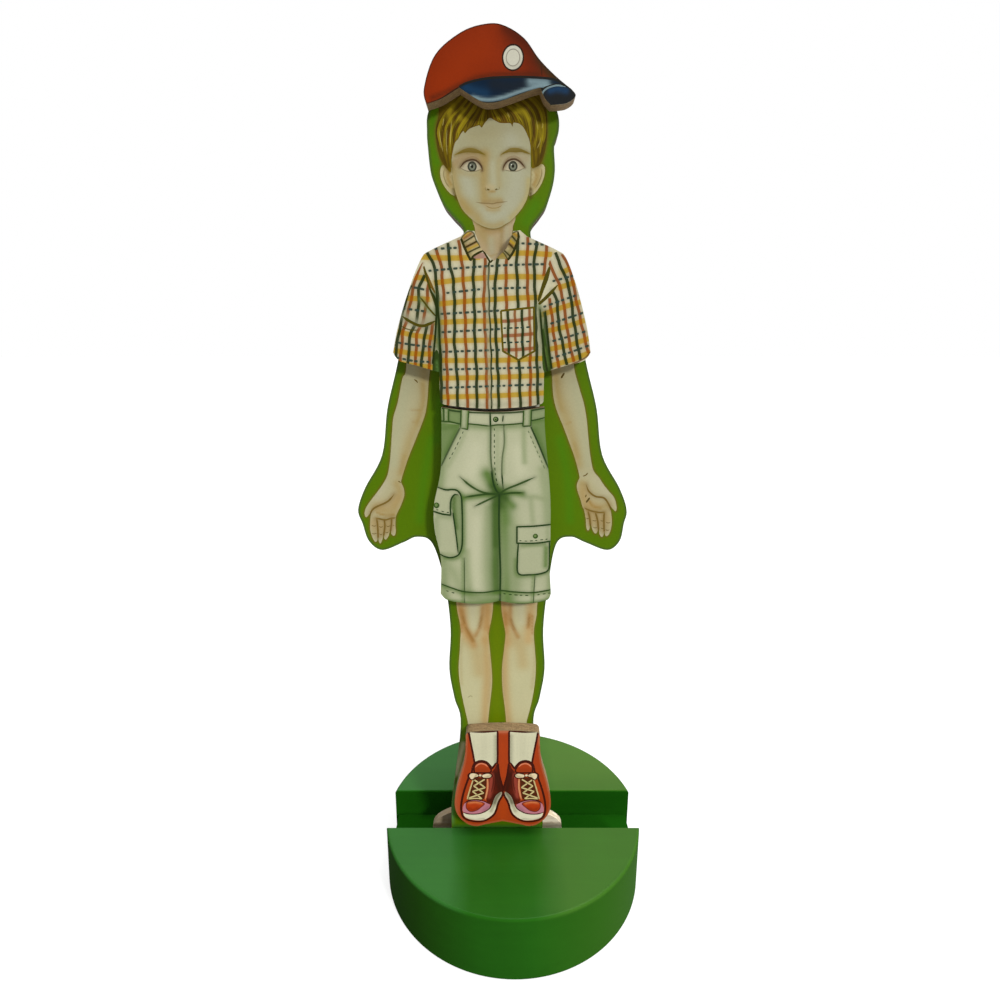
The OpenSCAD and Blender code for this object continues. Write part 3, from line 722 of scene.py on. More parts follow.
def draw_legs(s, i):
    """Legs and bare feet, with the shading of the knees and shins."""
    left = s.at(449,520, 453,570, 456.4,603, 457.6,612.3, 459.9,623, 460.7,632.2, 460.3,639.9, 459.9,649,
        458.8,664.4, 459.1,676.6, 461.4,692, 464.5,707.3, 468.3,725, 469.5,745, 468,765, 465,785,
        462.5,800, 464,812, 472,818, 484,817, 491,810, 492.5,796, 490,780, 488,760, 487.9,745, 487.9,725,
        489.5,707.3, 491.6,688.9, 492.1,676.6, 491,661.3, 489.5,646, 488.6,635.3, 490.1,626, 492.1,615.3,
        493.2,603, 495,570, 497,520)
    right = s.at(500,520, 500.5,570, 501.3,606, 502.8,618.4, 505.1,630.7, 505.4,636.8, 503.9,650.6,
        502.3,664.4, 502,676.6, 502.8,692, 504.8,707.3, 506.3,724.2, 507,745, 507,762, 505,780, 502.5,796,
        504,810, 511,817, 523,818, 531,812, 532.5,800, 530,785, 527,765, 526,745, 526.3,724.5,
        529.6,710.4, 532.7,696.6, 535,681.2, 535.8,665.9, 535,650.6, 533.9,636.8, 534.2,627.6,
        536.5,615.3, 537.3,603, 541,570, 546,520)
    edge = between(between(i.rim, i.knee, 0.35), i.leaf, 0.5)
    limb(s, left, edge, i.skin_leg)
    limb(s, right, edge, i.skin_leg)
    tan, soft_tan = between(i.skin_tan, i.knee, 0.3), between(i.skin_leg, i.skin_tan, 0.7)
    glow = linear(0.74, 0.60, 0.38)
    s.shades("skin",
        knee_glows=(2.1, glow, 0.75, (488,602, 488,622, 485,640), (461,602, 463,622, 467,636), (505,602,
            506,622, 507,642), (531,604, 530,622, 528,640)),
        shin_shades=(2.4, between(soft_tan, glow, 0.4), 0.65, (470,642, 476,652, 479,672), (515,638,
            521,650, 523,664)),
        inner_shins=(1.7, between(tan, glow, 0.6), 0.75, (486,640, 486.4,656, 487.4,675, 486,693,
            485,722), (505,640, 505,652, 504.6,673, 505.6,693, 508,722)),
        inner_edges=(0.45, between(i.skin_leg, i.knee, 0.6), 0.6, (490,655, 490.6,676, 488.4,702),
            (503.4,652, 502.8,676, 504.6,700)),
        outer_edges=(0.6, soft_tan, 0.5, (462,640, 460.6,660, 461.6,684), (533.6,640, 534.6,662,
            532,688)),
        knee_sides=(1.3, between(glow, i.knee, 0.45), 0.8, (459.5,604, 462.6,618, 465.7,629, 470.7,638,
            474,645), (487.6,606, 487,616, 486.4,628), (502.6,604, 504.4,619, 506,632)),
        knee_folds=(0.8, between(i.knee, glow, 0.15), 0.75, (461,610, 464,622, 468.6,633, 473,640.6),
            (482.5,607, 481.3,620.4, 478.8,629, 475.7,635.6), (505.6,614, 506,624), (510.5,605,
            510.5,620, 513.4,628, 518,636.8), (529.4,615, 528.2,627)),
        knee_lines=(0.45, between(i.skin_line, i.knee, 0.5), 0.55, (466.6,628, 470,635, 473.4,641),
            (481.4,617, 479.4,627), (511,619, 514.4,629.6), (529,618, 528.4,625), (463,617, 464.4,623)),
        knee_marks=(0.4, i.knee, 0.6, (489.6,626, 488.6,634), (532.6,616, 532.6,634), (461,624,
            461.4,632)),
        kneecaps=(1.3, between(i.skin_leg, (1, 1, 1), 0.05), 0.75, (472.5,606, 472.5,618, 473,626),
            (521.6,606, 521.6,622)))
    s.lines(shin_mark=(0.24, i.skin_line, (0.2, 0.2), 0.5, (467.6,697.6, 470.6,695.8, 472.6,697)))


def draw_feet(s, i):
    """Toes, ankles, paler green beside the feet and a painted shadow along the slot."""
    tan = between(i.skin_tan, i.knee, 0.3)
    toe_rows = ((s.at(468,812)[0], 1), (s.at(527,812)[0], -1))
    apart, drop, bow = 1.35, 0.5, 0.25
    for (x, z), way in toe_rows:
        for k in range(5):
            across = x + way * k * apart
            high = z - drop - bow * (k if k < 3 else 4 - k)
            gap = [(across + way * 0.65, high + 1.5), (across + way * 0.75, high - 0.4)]
            s.line(gap, 0.25, i.skin_line, (0.3, 0.3))
    bare_board = linear(0.66, 0.64, 0.50)
    deep_green = linear(0.15, 0.37, 0.12)
    pale_green = linear(0.36, 0.52, 0.28)
    s.shades("skin",
        ankle_shades=(1.2, tan, 0.6, (469,756, 474,760, 482,759), (513,759, 521,760, 526,756)))
    s.shades(
        worn_edge=(1.0, bare_board, 0.95, (463.6,744, 459.4,760, 456,774)),
        worn_low=(0.9, pale_green, 0.9, (454.6,786, 452.6,804, 451.4,822)),
        slot_shadow=(1.1, deep_green, 0.85, (455,827, 480,827, 520,827, 546,827)))


def draw_underwear(s, i):
    """Vest and pants, seen when the clothes are off."""
    chest = s.at(482,236, 478,242, 470,248, 452,252, 440,258, 447,300, 448,360, 448,430, 450,500, 455,522,
        496,512, 541,522, 544,480, 540,430, 539,360, 540,300, 546,256, 528,250, 514,246, 508,241, 504,236)
    s.fill(chest, i.skin, "skin")
    warm_grey = linear(0.34, 0.35, 0.30)
    grey = between(i.linen, warm_grey, 0.5)
    vest = s.at(456,250, 456,250, 463,247, 463,247, 470,262, 482,272, 492,275, 502,272, 514,262, 521,245,
        521,245, 528,249, 528,249, 530,275, 538,300, 538,300, 539,360, 539.6,425, 539.6,425, 495,430,
        448,426, 448,426, 449,360, 449,302, 449,302, 456,280)
    s.fill(vest, i.linen, "vest")
    pants = s.at(447.6,424, 447.6,424, 495,428, 540.4,423, 540.4,423, 543,470, 543.4,492, 543.4,492,
        526,500, 508,516, 508,516, 498,520, 489,516, 489,516, 471,501, 449.6,494, 449.6,494, 447.6,460)
    s.fill(pants, i.linen, "pants")
    s.lines(
        hems=(0.35, grey, (0.5, 0.5), 1.0, (449,360, 449,302, 456,280, 456,250), (463,247, 470,262,
            482,272, 492,275, 502,272, 514,262, 521,245), (528,249, 530,275, 538,300, 539,360),
            (448,425.5, 495,430, 539.6,424.5), (447.6,432, 495,436.5, 540.6,431), (449.6,494, 471,501,
            489,516, 498,520, 508,516, 526,500, 543.4,492), (495,436, 496,470, 498,519)))
    s.shades(["vest", "pants"],
        side_shades=(1.6, between(i.linen, grey, 0.6), 0.6, (452,320, 452,400), (536,320, 536,400),
            (452,440, 453,485), (537,440, 539,484)))
    s.shades("vest",
        waist_fold=(1.2, grey, 0.3, (470,400, 480,412, 492,420)),
        chest_fold=(1.6, grey, 0.22, (474,292, 493,298, 512,292)))


def draw_neck(s, i):
    """Neck and the top of the vest."""
    tan, deep, ink = i.skin_tan, i.skin_deep, i.skin_line
    neck = s.at(475,214, 475,229, 476,236, 476,244, 468,252, 478,262, 490,268, 502,262, 516,250, 511,242,
        512,234, 512.8,227, 512.6,214)
    s.soft(neck, 0.45, i.rim, 0.7)
    neck_skin = linear(0.71, 0.62, 0.48)
    s.fill(neck, between(i.face, neck_skin, 0.7), "neck")
    s.shades("neck",
        throat=(1.8, tan, 0.75, (479,228, 484,236, 490,242)),
        neck_light=(1.1, between(i.face, (1, 1, 1), 0.06), 0.8, (491,240, 492,252)),
        sinew=(0.6, between(tan, ink, 0.35), 0.6, (501.6,230, 501.4,240, 500,249)),
        neck_side=(0.9, between(i.face, (1, 1, 1), 0.04), 0.7, (507,228, 507.4,240)),
        chin_shadow=(0.7, deep, 0.5, (484,230, 492,232, 502,230)))
    vest = s.at(482.6,252.6, 486.4,257.6, 490.4,264.4, 494.4,258, 497.6,253, 490,255.2)
    vest_white = linear(0.69, 0.65, 0.53)
    s.fill(vest, vest_white, "vest")
    s.shades("vest", vest_top=(0.6, tan, 0.6, (484,253.4, 490,255.2, 496.6,253.6)))


def draw_ears(s, i):
    """Ears with their folds."""
    tan, ink = i.skin_tan, i.skin_line
    ears = s.runs((453,171, 448.5,166, 444.2,164.6, 441,167.4, 440.2,174.6, 442.4,182.6, 446.8,189.6,
        451.6,194.4, 456,194), (529,171, 534,166.4, 538.6,164.6, 543,164.6, 545,169, 543.6,178.2,
        539.4,187.2, 533.4,194.2, 528,194))
    ear_light = linear(0.76, 0.71, 0.53)
    for ear in ears:
        s.soft(ear, 0.45, i.rim, 0.6)
        s.fill(ear, between(i.face, ear_light, 0.6), "ear")
    s.shades("ear",
        ear_hollows=(0.9, tan, 0.9, (447,170, 447.4,178, 450.6,187), (539,170, 538.4,178, 534.6,187)))
    s.lines(
        ear_folds=(0.26, ink, (0.2, 0.2), 0.55, (444.4,168.6, 443.6,175, 446,182.6, 449.6,187.6),
            (541.6,168.6, 541.6,175, 538.6,183, 535.4,188)))
    s.shades("ear",
        ear_shades=(0.45, i.skin_deep, 0.7, (449,171, 448.4,177, 450.4,184), (535.4,171, 536,177,
            533.8,184)))


def draw_face(s, i):
    """Face with its soft shading."""
    tan, deep, ink = i.skin_tan, i.skin_deep, i.skin_line
    pale, cool = between(i.face, (1, 1, 1), 0.05), linear(0.665, 0.66, 0.56)
    s.shades(
        sideburns=(0.55, between(i.hair_dark, ink, 0.3), 0.9, (453.4,190, 455,195, 456,198.4),
            (530.6,189, 530.8,193, 530.4,197.4)))
    face = s.at(454.8,120, 453,139, 451.8,154, 451.6,166, 452.6,176, 454.6,188, 457.6,199, 462.4,209.4,
        470,217.6, 478,223.8, 484,227, 491.8,229, 500.2,227.6, 508.4,222.6, 515.4,216.2, 521.8,208.4,
        526.8,199, 529.4,188, 530.6,172, 530.6,153, 529.8,136, 526,118, 490,108)
    s.soft(face[4:20], 0.4, i.rim, 0.7)
    s.fill(face, i.face, "face")
    nose_pink = linear(0.76, 0.66, 0.48)
    jaw_glow = linear(0.70, 0.65, 0.42)
    lid_pale = linear(0.62, 0.54, 0.40)
    lid_tan = linear(0.615, 0.515, 0.36)
    s.shades("face",
        forehead=(2.6, between(i.face, tan, 0.4), 0.5, (475,136, 492,132, 512,136)),
        cheek_right=(3.0, cool, 0.8, (511,140, 516,160, 516,182, 511,203)),
        chin=(1.8, cool, 0.8, (485,211, 494,218, 503,213)),
        cheek_left=(1.8, cool, 0.8, (466,178, 469.6,192)),
        jaw_left=(1.2, tan, 0.8, (453,166, 455,182, 459.6,199, 468,211)),
        jaw_low=(1.5, between(tan, deep, 0.25), 0.7, (463,203, 469,210, 477,217)),
        chin_edge=(0.9, tan, 0.65, (478,221, 486,225, 494,226, 502,223.6)),
        lid_left=(1.6, lid_tan, 0.75, (457,162, 464,156.6, 474,155.6, 483,160)),
        under_eye=(0.8, tan, 0.45, (460,172, 467,174.4, 476,174.4)),
        nose_side=(1.5, between(tan, deep, 0.25), 0.85, (485,154, 484,168, 483.6,182, 484.6,198)),
        lid_right=(1.2, lid_pale, 0.55, (503,158, 514,155.4, 526,159)),
        nose_right=(0.8, tan, 0.4, (498.8,160, 498.4,174, 499.6,186)),
        jaw_right=(0.8, between(tan, jaw_glow, 0.6), 0.7, (528.6,180, 527,196, 520,208, 511,218)),
        nose_bridge=(0.75, pale, 0.85, (492.4,163, 492.8,173, 493.4,183)),
        nose_tip=(0.7, between(i.face, nose_pink, 0.6), 0.7, (488,186.4, 493,187.4)))


def draw_nose_and_mouth(s, i):
    """Lines of the nose, the mouth and the chin."""
    tan, deep, ink = i.skin_tan, i.skin_deep, i.skin_line
    s.lines(
        nose_wings=(0.2, ink, (0.1, 0.2), 0.45, (485.4,186.6, 485.2,189.4, 486.8,190.6), (499,186,
            499.2,188.8, 497.6,190)))
    nostril = between(ink, i.black, 0.2)
    nostril_left = s.at(488.2,189.6)[0]
    nostril_right = s.at(496.3,189.4)[0]
    s.dot(nostril_left, 0.72, 0.42, nostril, alpha=0.9, turn=-12)
    s.dot(nostril_right, 0.62, 0.38, nostril, alpha=0.9, turn=12)
    mouth_brown = linear(0.57, 0.475, 0.31)
    lip_tan = linear(0.645, 0.56, 0.39)
    mouth_ink = linear(0.47, 0.385, 0.23)
    s.shades("face",
        nose_base=(0.35, deep, 0.8, (490.4,191.4, 492.4,191.8, 494.2,191)),
        upper_lip=(0.9, tan, 0.7, (484,201, 492,200.4, 500,200)),
        low_lip=(0.95, lip_tan, 0.75, (487,205.4, 492,206.2, 498,205)),
        mouth_shade=(0.5, mouth_brown, 0.6, (483,202, 489,201.6, 492.5,202.2, 497,201.6, 502,201.4)))
    s.lines(
        mouth=(0.28, mouth_ink, (0.1, 0.15), 0.7, (475,202, 482,203.1, 488.6,203.4, 492.7,203.8,
            496.8,202.8, 503.6,202, 507.6,201.2)),
        lip_line=(0.22, between(ink, deep, 0.6), (0.1, 0.1), 0.7, (485.4,205.4, 489.3,207.5, 492.7,208.2,
            498.2,207.5, 502.6,204.8)))
    s.shades("face", below_lip=(0.5, tan, 0.6, (487,209.6, 493,210.4, 499,209.4)))
    s.lines(
        chin_line=(0.26, between(ink, deep, 0.3), (0.2, 0.3), 0.75, (477.8,223.6, 483.4,226.9, 491.8,229,
            500.2,227.6, 509.4,222)))


def draw_eyes(s, i):
    """Both eyes, and the brows over them."""
    pupil_left = s.at(472.1,166.5)[0]
    lid_top_left = s.at(460.1,167.6, 464.1,162.5, 468.2,160.5, 472.3,159.8, 476.4,160.8, 479.8,163.9,
        481.8,167.3, 482.2,171)
    lid_low_left = s.at(480.6,169.6, 475.4,171.2, 469.4,171.4, 464.6,170.2)
    draw_eye(s, i, pupil_left, lid_top_left, lid_low_left)
    pupil_right = s.at(513,166.2)[0]
    lid_top_right = s.at(502.8,170, 504.3,165.2, 507.7,161.1, 511.8,159.4, 515.9,159.4, 520,161.8,
        523.1,165.2, 524.8,167.6)
    lid_low_right = s.at(520.7,169.9, 516.4,171.2, 509.4,171, 505,170)
    draw_eye(s, i, pupil_right, lid_top_right, lid_low_right)
    brow_left = s.at(454.6,155, 459.6,151.6, 464.1,149.2, 468.9,148, 473.6,148.3, 477,149.5, 480.5,151.3,
        485,154.8, 478.6,153.2, 473.6,152.7, 468.2,152.4, 463.4,152.8)
    low_left = s.at(459,153, 464,152, 470,151.6, 477,152.2, 482,153.4)
    brow_right = s.at(500.8,154.8, 505,151.4, 509.8,148.5, 514.5,147.8, 519.3,148.3,
        523.4,149.9, 526.8,151.6, 530.4,154, 525.4,153.2, 521.4,152, 515.9,152.4, 510.5,152.1,
        506.4,152.8)
    low_right = s.at(503,153.4, 508,152, 514,151.4, 521,151.2, 528,152.6)
    brow_olive = linear(0.50, 0.42, 0.16)
    tone = between(i.hair, brow_olive, 0.6)
    for brow, low in ((brow_left, low_left), (brow_right, low_right)):
        s.soft(round_trip(brow), 0.4, tone, 0.6, "face")
        s.fill(brow, tone, "brow", 0.8)
        s.soft(low, 0.5, between(i.hair, i.hair_dark, 0.35), 0.6, "brow")


def draw_eye(s, i, middle, top, low):
    """One eye between its upper and its lower lid."""
    lid_brown = linear(0.36, 0.26, 0.17)
    dark = between(i.black, lid_brown, 0.6)
    eye_white = linear(0.70, 0.66, 0.55)
    s.fill(list(top) + list(low), eye_white, "eye")
    for corner in ([top[0], top[1]], [top[-2], top[-1]]):
        s.soft(corner, 0.5, between(i.skin_tan, i.rust, 0.25), 0.6, "eye")
    x, z = middle
    ring = between(i.black, i.eye, 0.16)
    s.dot((x, z), 2.2, 2.3, ring, "iris", within=["eye"])
    s.dot((x, z - 0.02), 1.44, 1.52, i.eye, "iris", within=["iris"])
    s.soft([(x - 0.3, z + 0.55), (x + 0.3, z + 0.55)], 0.35, ring, 0.7, "iris")
    s.dot((x, z), 0.62, 0.74, i.black, "pupil", within=["iris"])
    glint = linear(0.84, 0.84, 0.78)
    s.dot((x - 0.34, z + 0.32), 0.26, 0.26, glint, "glint")
    s.soft(top[1:-1], 0.32, dark, 0.5, "eye")
    lid_shade = linear(0.50, 0.38, 0.24)
    s.soft(moved(top, up=0.2), 0.5, lid_shade, 0.55, "face")
    s.soft(top, 0.35, dark, 0.5)
    s.line(top, 0.38, dark, (0.25, 0.25))
    s.line([top[-1], *low, top[0]], 0.2, between(i.skin_line, i.black, 0.3), (0.2, 0.2), 0.6)
    lifts = (0.5, 0.62, 0.68, 0.68, 0.62, 0.5)
    lifted = [(x, z + lift) for (x, z), lift in zip(top[1:-1], lifts)]
    crease_brown = linear(0.47, 0.35, 0.20)
    s.line(lifted, 0.2, crease_brown, (0.1, 0.1), 0.35)


def draw_hair(s, i):
    """Short combed hair with a fringe that parts in the middle."""
    whole = s.at(438.8,113, 437.6,96, 443,78, 455,63.5, 472,55, 491,52, 510,54, 527,62, 540,78, 545.6,96,
        546.6,110, 547.2,123, 547,138, 544.6,153, 541,163.6, 536.4,167, 533.2,168.4, 532,168.4, 531.6,160,
        531,152, 529.7,141.6, 527.1,134.7, 523.6,127.7, 519.3,123.8, 516.4,123, 513.4,122.8, 512.3,126.9,
        510.6,123.4, 504.5,123.2, 499.3,122.7, 494,120, 489.8,117.8, 486.4,121, 483.8,124.4, 481.6,127.7,
        479.6,125.4, 476.8,126, 471,128, 467.4,130.6, 464.9,133.4, 463.6,131, 461,133.6, 457.7,139.6,
        455.4,142, 453.6,147.6, 452,156, 451,164, 450.6,172, 445,166.6, 440.4,159, 436.9,145.4, 435.6,130)
    right_side, left_side, fringe = whole[10:17], [*whole[-6:], whole[0]], whole[18:48]
    s.soft(right_side, 0.5, i.rim, 0.7)
    s.soft(left_side, 0.5, i.rim, 0.7)
    s.fill(whole, i.hair, "hair")
    chestnut = linear(0.46, 0.30, 0.08)
    earth = linear(0.42, 0.27, 0.05)
    brown = between(i.hair_dark, earth, 0.5)
    s.shades("hair",
        edge_left=(0.9, i.hair_dark, 0.75, (437.6,112, 436.4,132, 439.4,152, 446,167)),
        edge_right=(0.9, i.hair_dark, 0.75, (546.4,110, 546,132, 543.4,152, 537,166)),
        # Dark hair under the cap, deepened by a painted shadow of the cap.
        fringe_left=(0.9, i.hair_dark, 0.5, (470,106, 474,113, 480,115)),
        parting=(0.6, i.hair_dark, 0.6, (489.8,106, 489.8,116)),
        fringe_right=(0.8, between(i.hair_dark, chestnut, 0.7), 0.6, (493,117.4, 502,120.6, 511,121.6)),
        crown_light=(3.0, i.hair_light, 0.35, (455,70, 490,60, 528,70)))
    draw_locks(s, i, brown)
    draw_hair_lights(s, i)
    s.line(fringe, 0.3, brown, (0.3, 0.3), 0.6, "hair")


def draw_locks(s, i, brown):
    """Combed locks, with fine strands between them and the shadow of the cap over them."""
    gold = between(i.hair, i.hair_light, 0.6)
    locks = ((s.at(474,86, 458,103, 446,116, 440,130, 440.4,148), 1.5), (s.at(477,88, 463,107, 452.6,118,
        446,132, 445.6,152), 1.4), (s.at(480,90, 468,108, 458,120, 452,133, 450.4,154), 1.2),
        (s.at(483,92, 473,110, 465,121, 459.6,130, 457.8,138.6), 1.1), (s.at(486,94, 479,111, 472,121.6,
        465.8,132), 1.0), (s.at(488,96, 485,110, 482.8,118, 481.8,126.6), 0.9), (s.at(491,96, 494,109,
        498,116, 501,121.6), 0.9), (s.at(492,94, 501,107, 509,116, 512.2,125.8), 1.0), (s.at(494,92,
        508,104, 518.6,114, 525,126), 1.2), (s.at(496,90, 514,101, 526,112, 531,128, 530.6,144), 1.2),
        (s.at(499,88, 521,98, 534,111, 537.8,130, 534.6,152), 1.4), (s.at(503,86, 528,96, 541,110,
        543.8,130, 540,154), 1.4))
    lock_inks = (gold, i.hair, between(i.hair, i.hair_light, 0.3))
    for k, (run, width) in enumerate(locks):
        s.line(run, width + 0.3, i.hair_dark, (0.5, 0.1), 0.6, "hair")
        s.line(run, width * 0.85, lock_inks[k % 3], (0.5, 0.05), 0.8, "hair")
    tones = [between(i.hair_dark, i.hair, 0.35), gold, i.hair_dark, between(i.hair, i.hair_light, 0.8),
        brown, i.hair]
    for (first, _), (second, _) in zip(locks, locks[1:]):
        if len(first) == len(second):
            strands(s, first, second, 5, 0.28, tones, "hair", 0.8)
    s.shades("hair",
        cap_shadow=(2.4, between(i.hair_dark, i.hair, 0.25), 0.65, (440,108, 456,104, 474,104, 492,108,
            512,103, 530,100, 546,106)))


def draw_hair_lights(s, i):
    """Single dark strands, shining strands and soft glows."""
    straw = linear(0.88, 0.82, 0.52)
    shine = between(i.hair_light, straw, 0.6)
    s.lines("hair",
        dark_strands=(0.5, i.hair_dark, (0.1, 0.1), 0.5, (447,112, 444,124, 444,140), (459,112, 455,122,
            453,136), (475,112, 470,119, 467,128), (517,113, 523,119, 527,131), (530,110, 535,122,
            535.6,140), (540,116, 541.4,132, 538.6,148), (533,146, 534,156, 534.6,165), (538,146,
            538.4,156, 537.4,164), (543,140, 541.8,152, 540,160), (442,146, 443.6,156, 446.4,165),
            (447,146, 448,158, 449.4,168)),
        shining=(0.24, shine, (0.1, 0.1), 0.38, (438.9,128.6, 440.4,140, 443,152), (447,129, 446.4,142,
            447.2,155), (451.7,120, 450.8,132, 450.4,145), (542.7,122.5, 542.6,126, 541.8,128.6),
            (541,137, 539.6,143, 537,148.5), (444,118, 442.6,126), (536.6,120, 538.2,130), (507,112,
            510,118)))
    s.shades("hair",
        glows=(0.7, i.hair_light, 0.5, (453,106, 449.6,113, 450.4,121), (463,110, 460.4,119), (518,109,
            524,113, 529,119), (539,124, 540.6,138)))


def draw_cap(s, i):
    """Dome of the baseball cap, with its patch and its brim."""
    seam_brown = linear(0.14, 0.10, 0.03)
    seam = between(i.cap_dark, seam_brown, 0.6)
    orange = linear(0.62, 0.20, 0.0)
    olive_brown = linear(0.20, 0.17, 0.05)
    s.shades(
        right_edge=(1.5, i.cap_dark, 0.65, (505,28, 517,35, 533,49, 548,67, 560,82)),
        front_shade=(2.0, between(seam, olive_brown, 0.6), 0.9, (541,58, 547,68, 556,79)),
        side_shade=(3.0, i.cap_dark, 0.45, (512,38, 526,52, 535,70)),
        crown_light=(4.5, between(i.cap_red, orange, 0.6), 0.5, (446,84, 462,64, 484,48)),
        brim_shadow=(0.7, seam, 0.55, (432,98, 446,92, 462,84, 480,77, 510,74, 538,75)))
    s.lines(panel_seam=(0.3, seam, (0.1, 0.3), 0.6, (538.6,52, 541,64, 542,77)))
    s.line(round_trip(s.rim), 0.5, seam, (1, 1), 0.75)
    draw_patch(s, i)
    draw_brim(s, i)
    s.lines(
        cap_hem=(0.55, seam, (0.5, 0.5), 0.85, (426,106, 436,102, 446,96, 454,90.6, 460,87.6)))


def draw_patch(s, i):
    """Plain round patch on the cap, with a stitched ring."""
    patch_middle, lean = s.at(513,57.5)[0], -8
    s.dot(patch_middle, 5.0, 5.4, between(i.cap_dark, i.black, 0.5), turn=lean)
    s.dot(patch_middle, 4.3, 4.7, i.linen, "patch", turn=lean)
    patch_grey = linear(0.50, 0.46, 0.38)
    s.shades("patch",
        patch_shade=(0.9, between(i.linen, patch_grey, 0.6), 0.6, (509,63, 515,64.5, 518,60)))
    s.dot(patch_middle, 3.2, 3.5, between(i.linen, i.cap_dark, 0.55), turn=lean)
    s.dot(patch_middle, 2.8, 3.1, i.linen, "patch", turn=lean)


def draw_brim(s, i):
    """Curled brim of the cap, with its turned tip."""
    brim = s.at(459.6,88.2, 466,84.6, 475.4,81.7, 486,79.7, 497,78.7, 516.7,78.1, 535,78.7, 547,79.6,
        556,81.4, 567,87, 572,92, 560,98, 548,90, 541,87.6, 530,90.4, 519.7,93.6, 511,97, 504.5,99.6,
        490.7,102, 478.5,100.6, 469.3,96, 464,91.4)
    s.line(round_trip(brim), 1.0, between(i.black, i.brim, 0.15), (1, 1))
    s.fill(brim, i.brim, "brim")
    brim_blue = linear(0.12, 0.28, 0.42)
    s.shades("brim",
        brim_glow=(1.2, between(i.brim, brim_blue, 0.6), 0.6, (466,88, 476,91, 486,93)),
        brim_dark=(1.8, between(i.brim, i.black, 0.55), 0.8, (494,84, 508,86.6, 522,85)),
        brim_shine=(1.1, i.brim_light, 0.85, (531,81.6, 539,82.2, 546,83)),
        brim_edge=(0.45, i.brim_light, 0.9, (473,97, 482,99.4, 491,99.8, 503,97.4, 516,93, 530,88.4,
            541,85.8, 552,86)),
        brim_end=(0.7, between(i.brim, i.black, 0.5), 0.7, (553,84, 562,87)))
    tip = s.at(541.6,95, 543.8,90, 549.4,87.4, 557.9,85.8, 566.6,87.2, 572.6,92, 575.2,97.4, 572.6,102,
        564,105, 553,105.6, 546.6,102.4)
    s.line(round_trip(tip), 0.9, i.black, (1, 1))
    s.fill(tip, between(i.brim, i.black, 0.75), "tip")
    tip_blue = linear(0.14, 0.30, 0.46)
    s.shades("tip", tip_glow=(0.8, between(i.brim, tip_blue, 0.5), 0.85, (550,90.6, 558,89, 566,90.6)))
    s.lines(
        tip_edge=(0.36, i.brim_light, (0.3, 0.1), 0.75, (542.6,98, 542.8,92.6, 546.6,88.6, 552,86.4,
            558,85.4, 566,86.8)))


def plaid_line(s, run, width, ink, within=None, alpha=1.0, label=None):
    """A plaid line with the slight waver of a brush and soft sides."""
    waver, wave = 0.10, 1.9
    q = curve(run, step=2.2)
    q[1:-1, 0] += waver * np.sin(np.arange(len(q) - 2) * wave + run[0][0] * 3)
    s.soft(q, width * 0.95, ink, 0.5 * alpha, within)
    s.line(q, width, ink, (0.9, 0.9), alpha, within, label)


def weave(s, i, bands, rusts, pines, dashed, within=None, crossing="rust"):
    """Plaid: ochre bands, rust lines that glow where they cross them, pine lines and rows of dashes."""
    for run in bands:
        s.soft(run, 1.0, i.ochre, 0.55, within)
        s.line(run, 1.25, i.ochre, (1, 1), 0.8, within)
    for run in rusts:
        plaid_line(s, run, 0.74, i.rust, within, 0.92, crossing)
    crossing_gold = linear(0.60, 0.335, 0.01)
    for run in bands:
        s.line(run, 1.3, crossing_gold, (1, 1), 0.75, [crossing])
    for run in pines:
        plaid_line(s, run, 0.74, i.pine, within, 0.95)
    for run in dashed:
        s.soft(run, 0.5, i.navy, 0.25, within)
        s.dashes(run, 0.56, i.navy, 0.95, 0.55, 0.95, within)


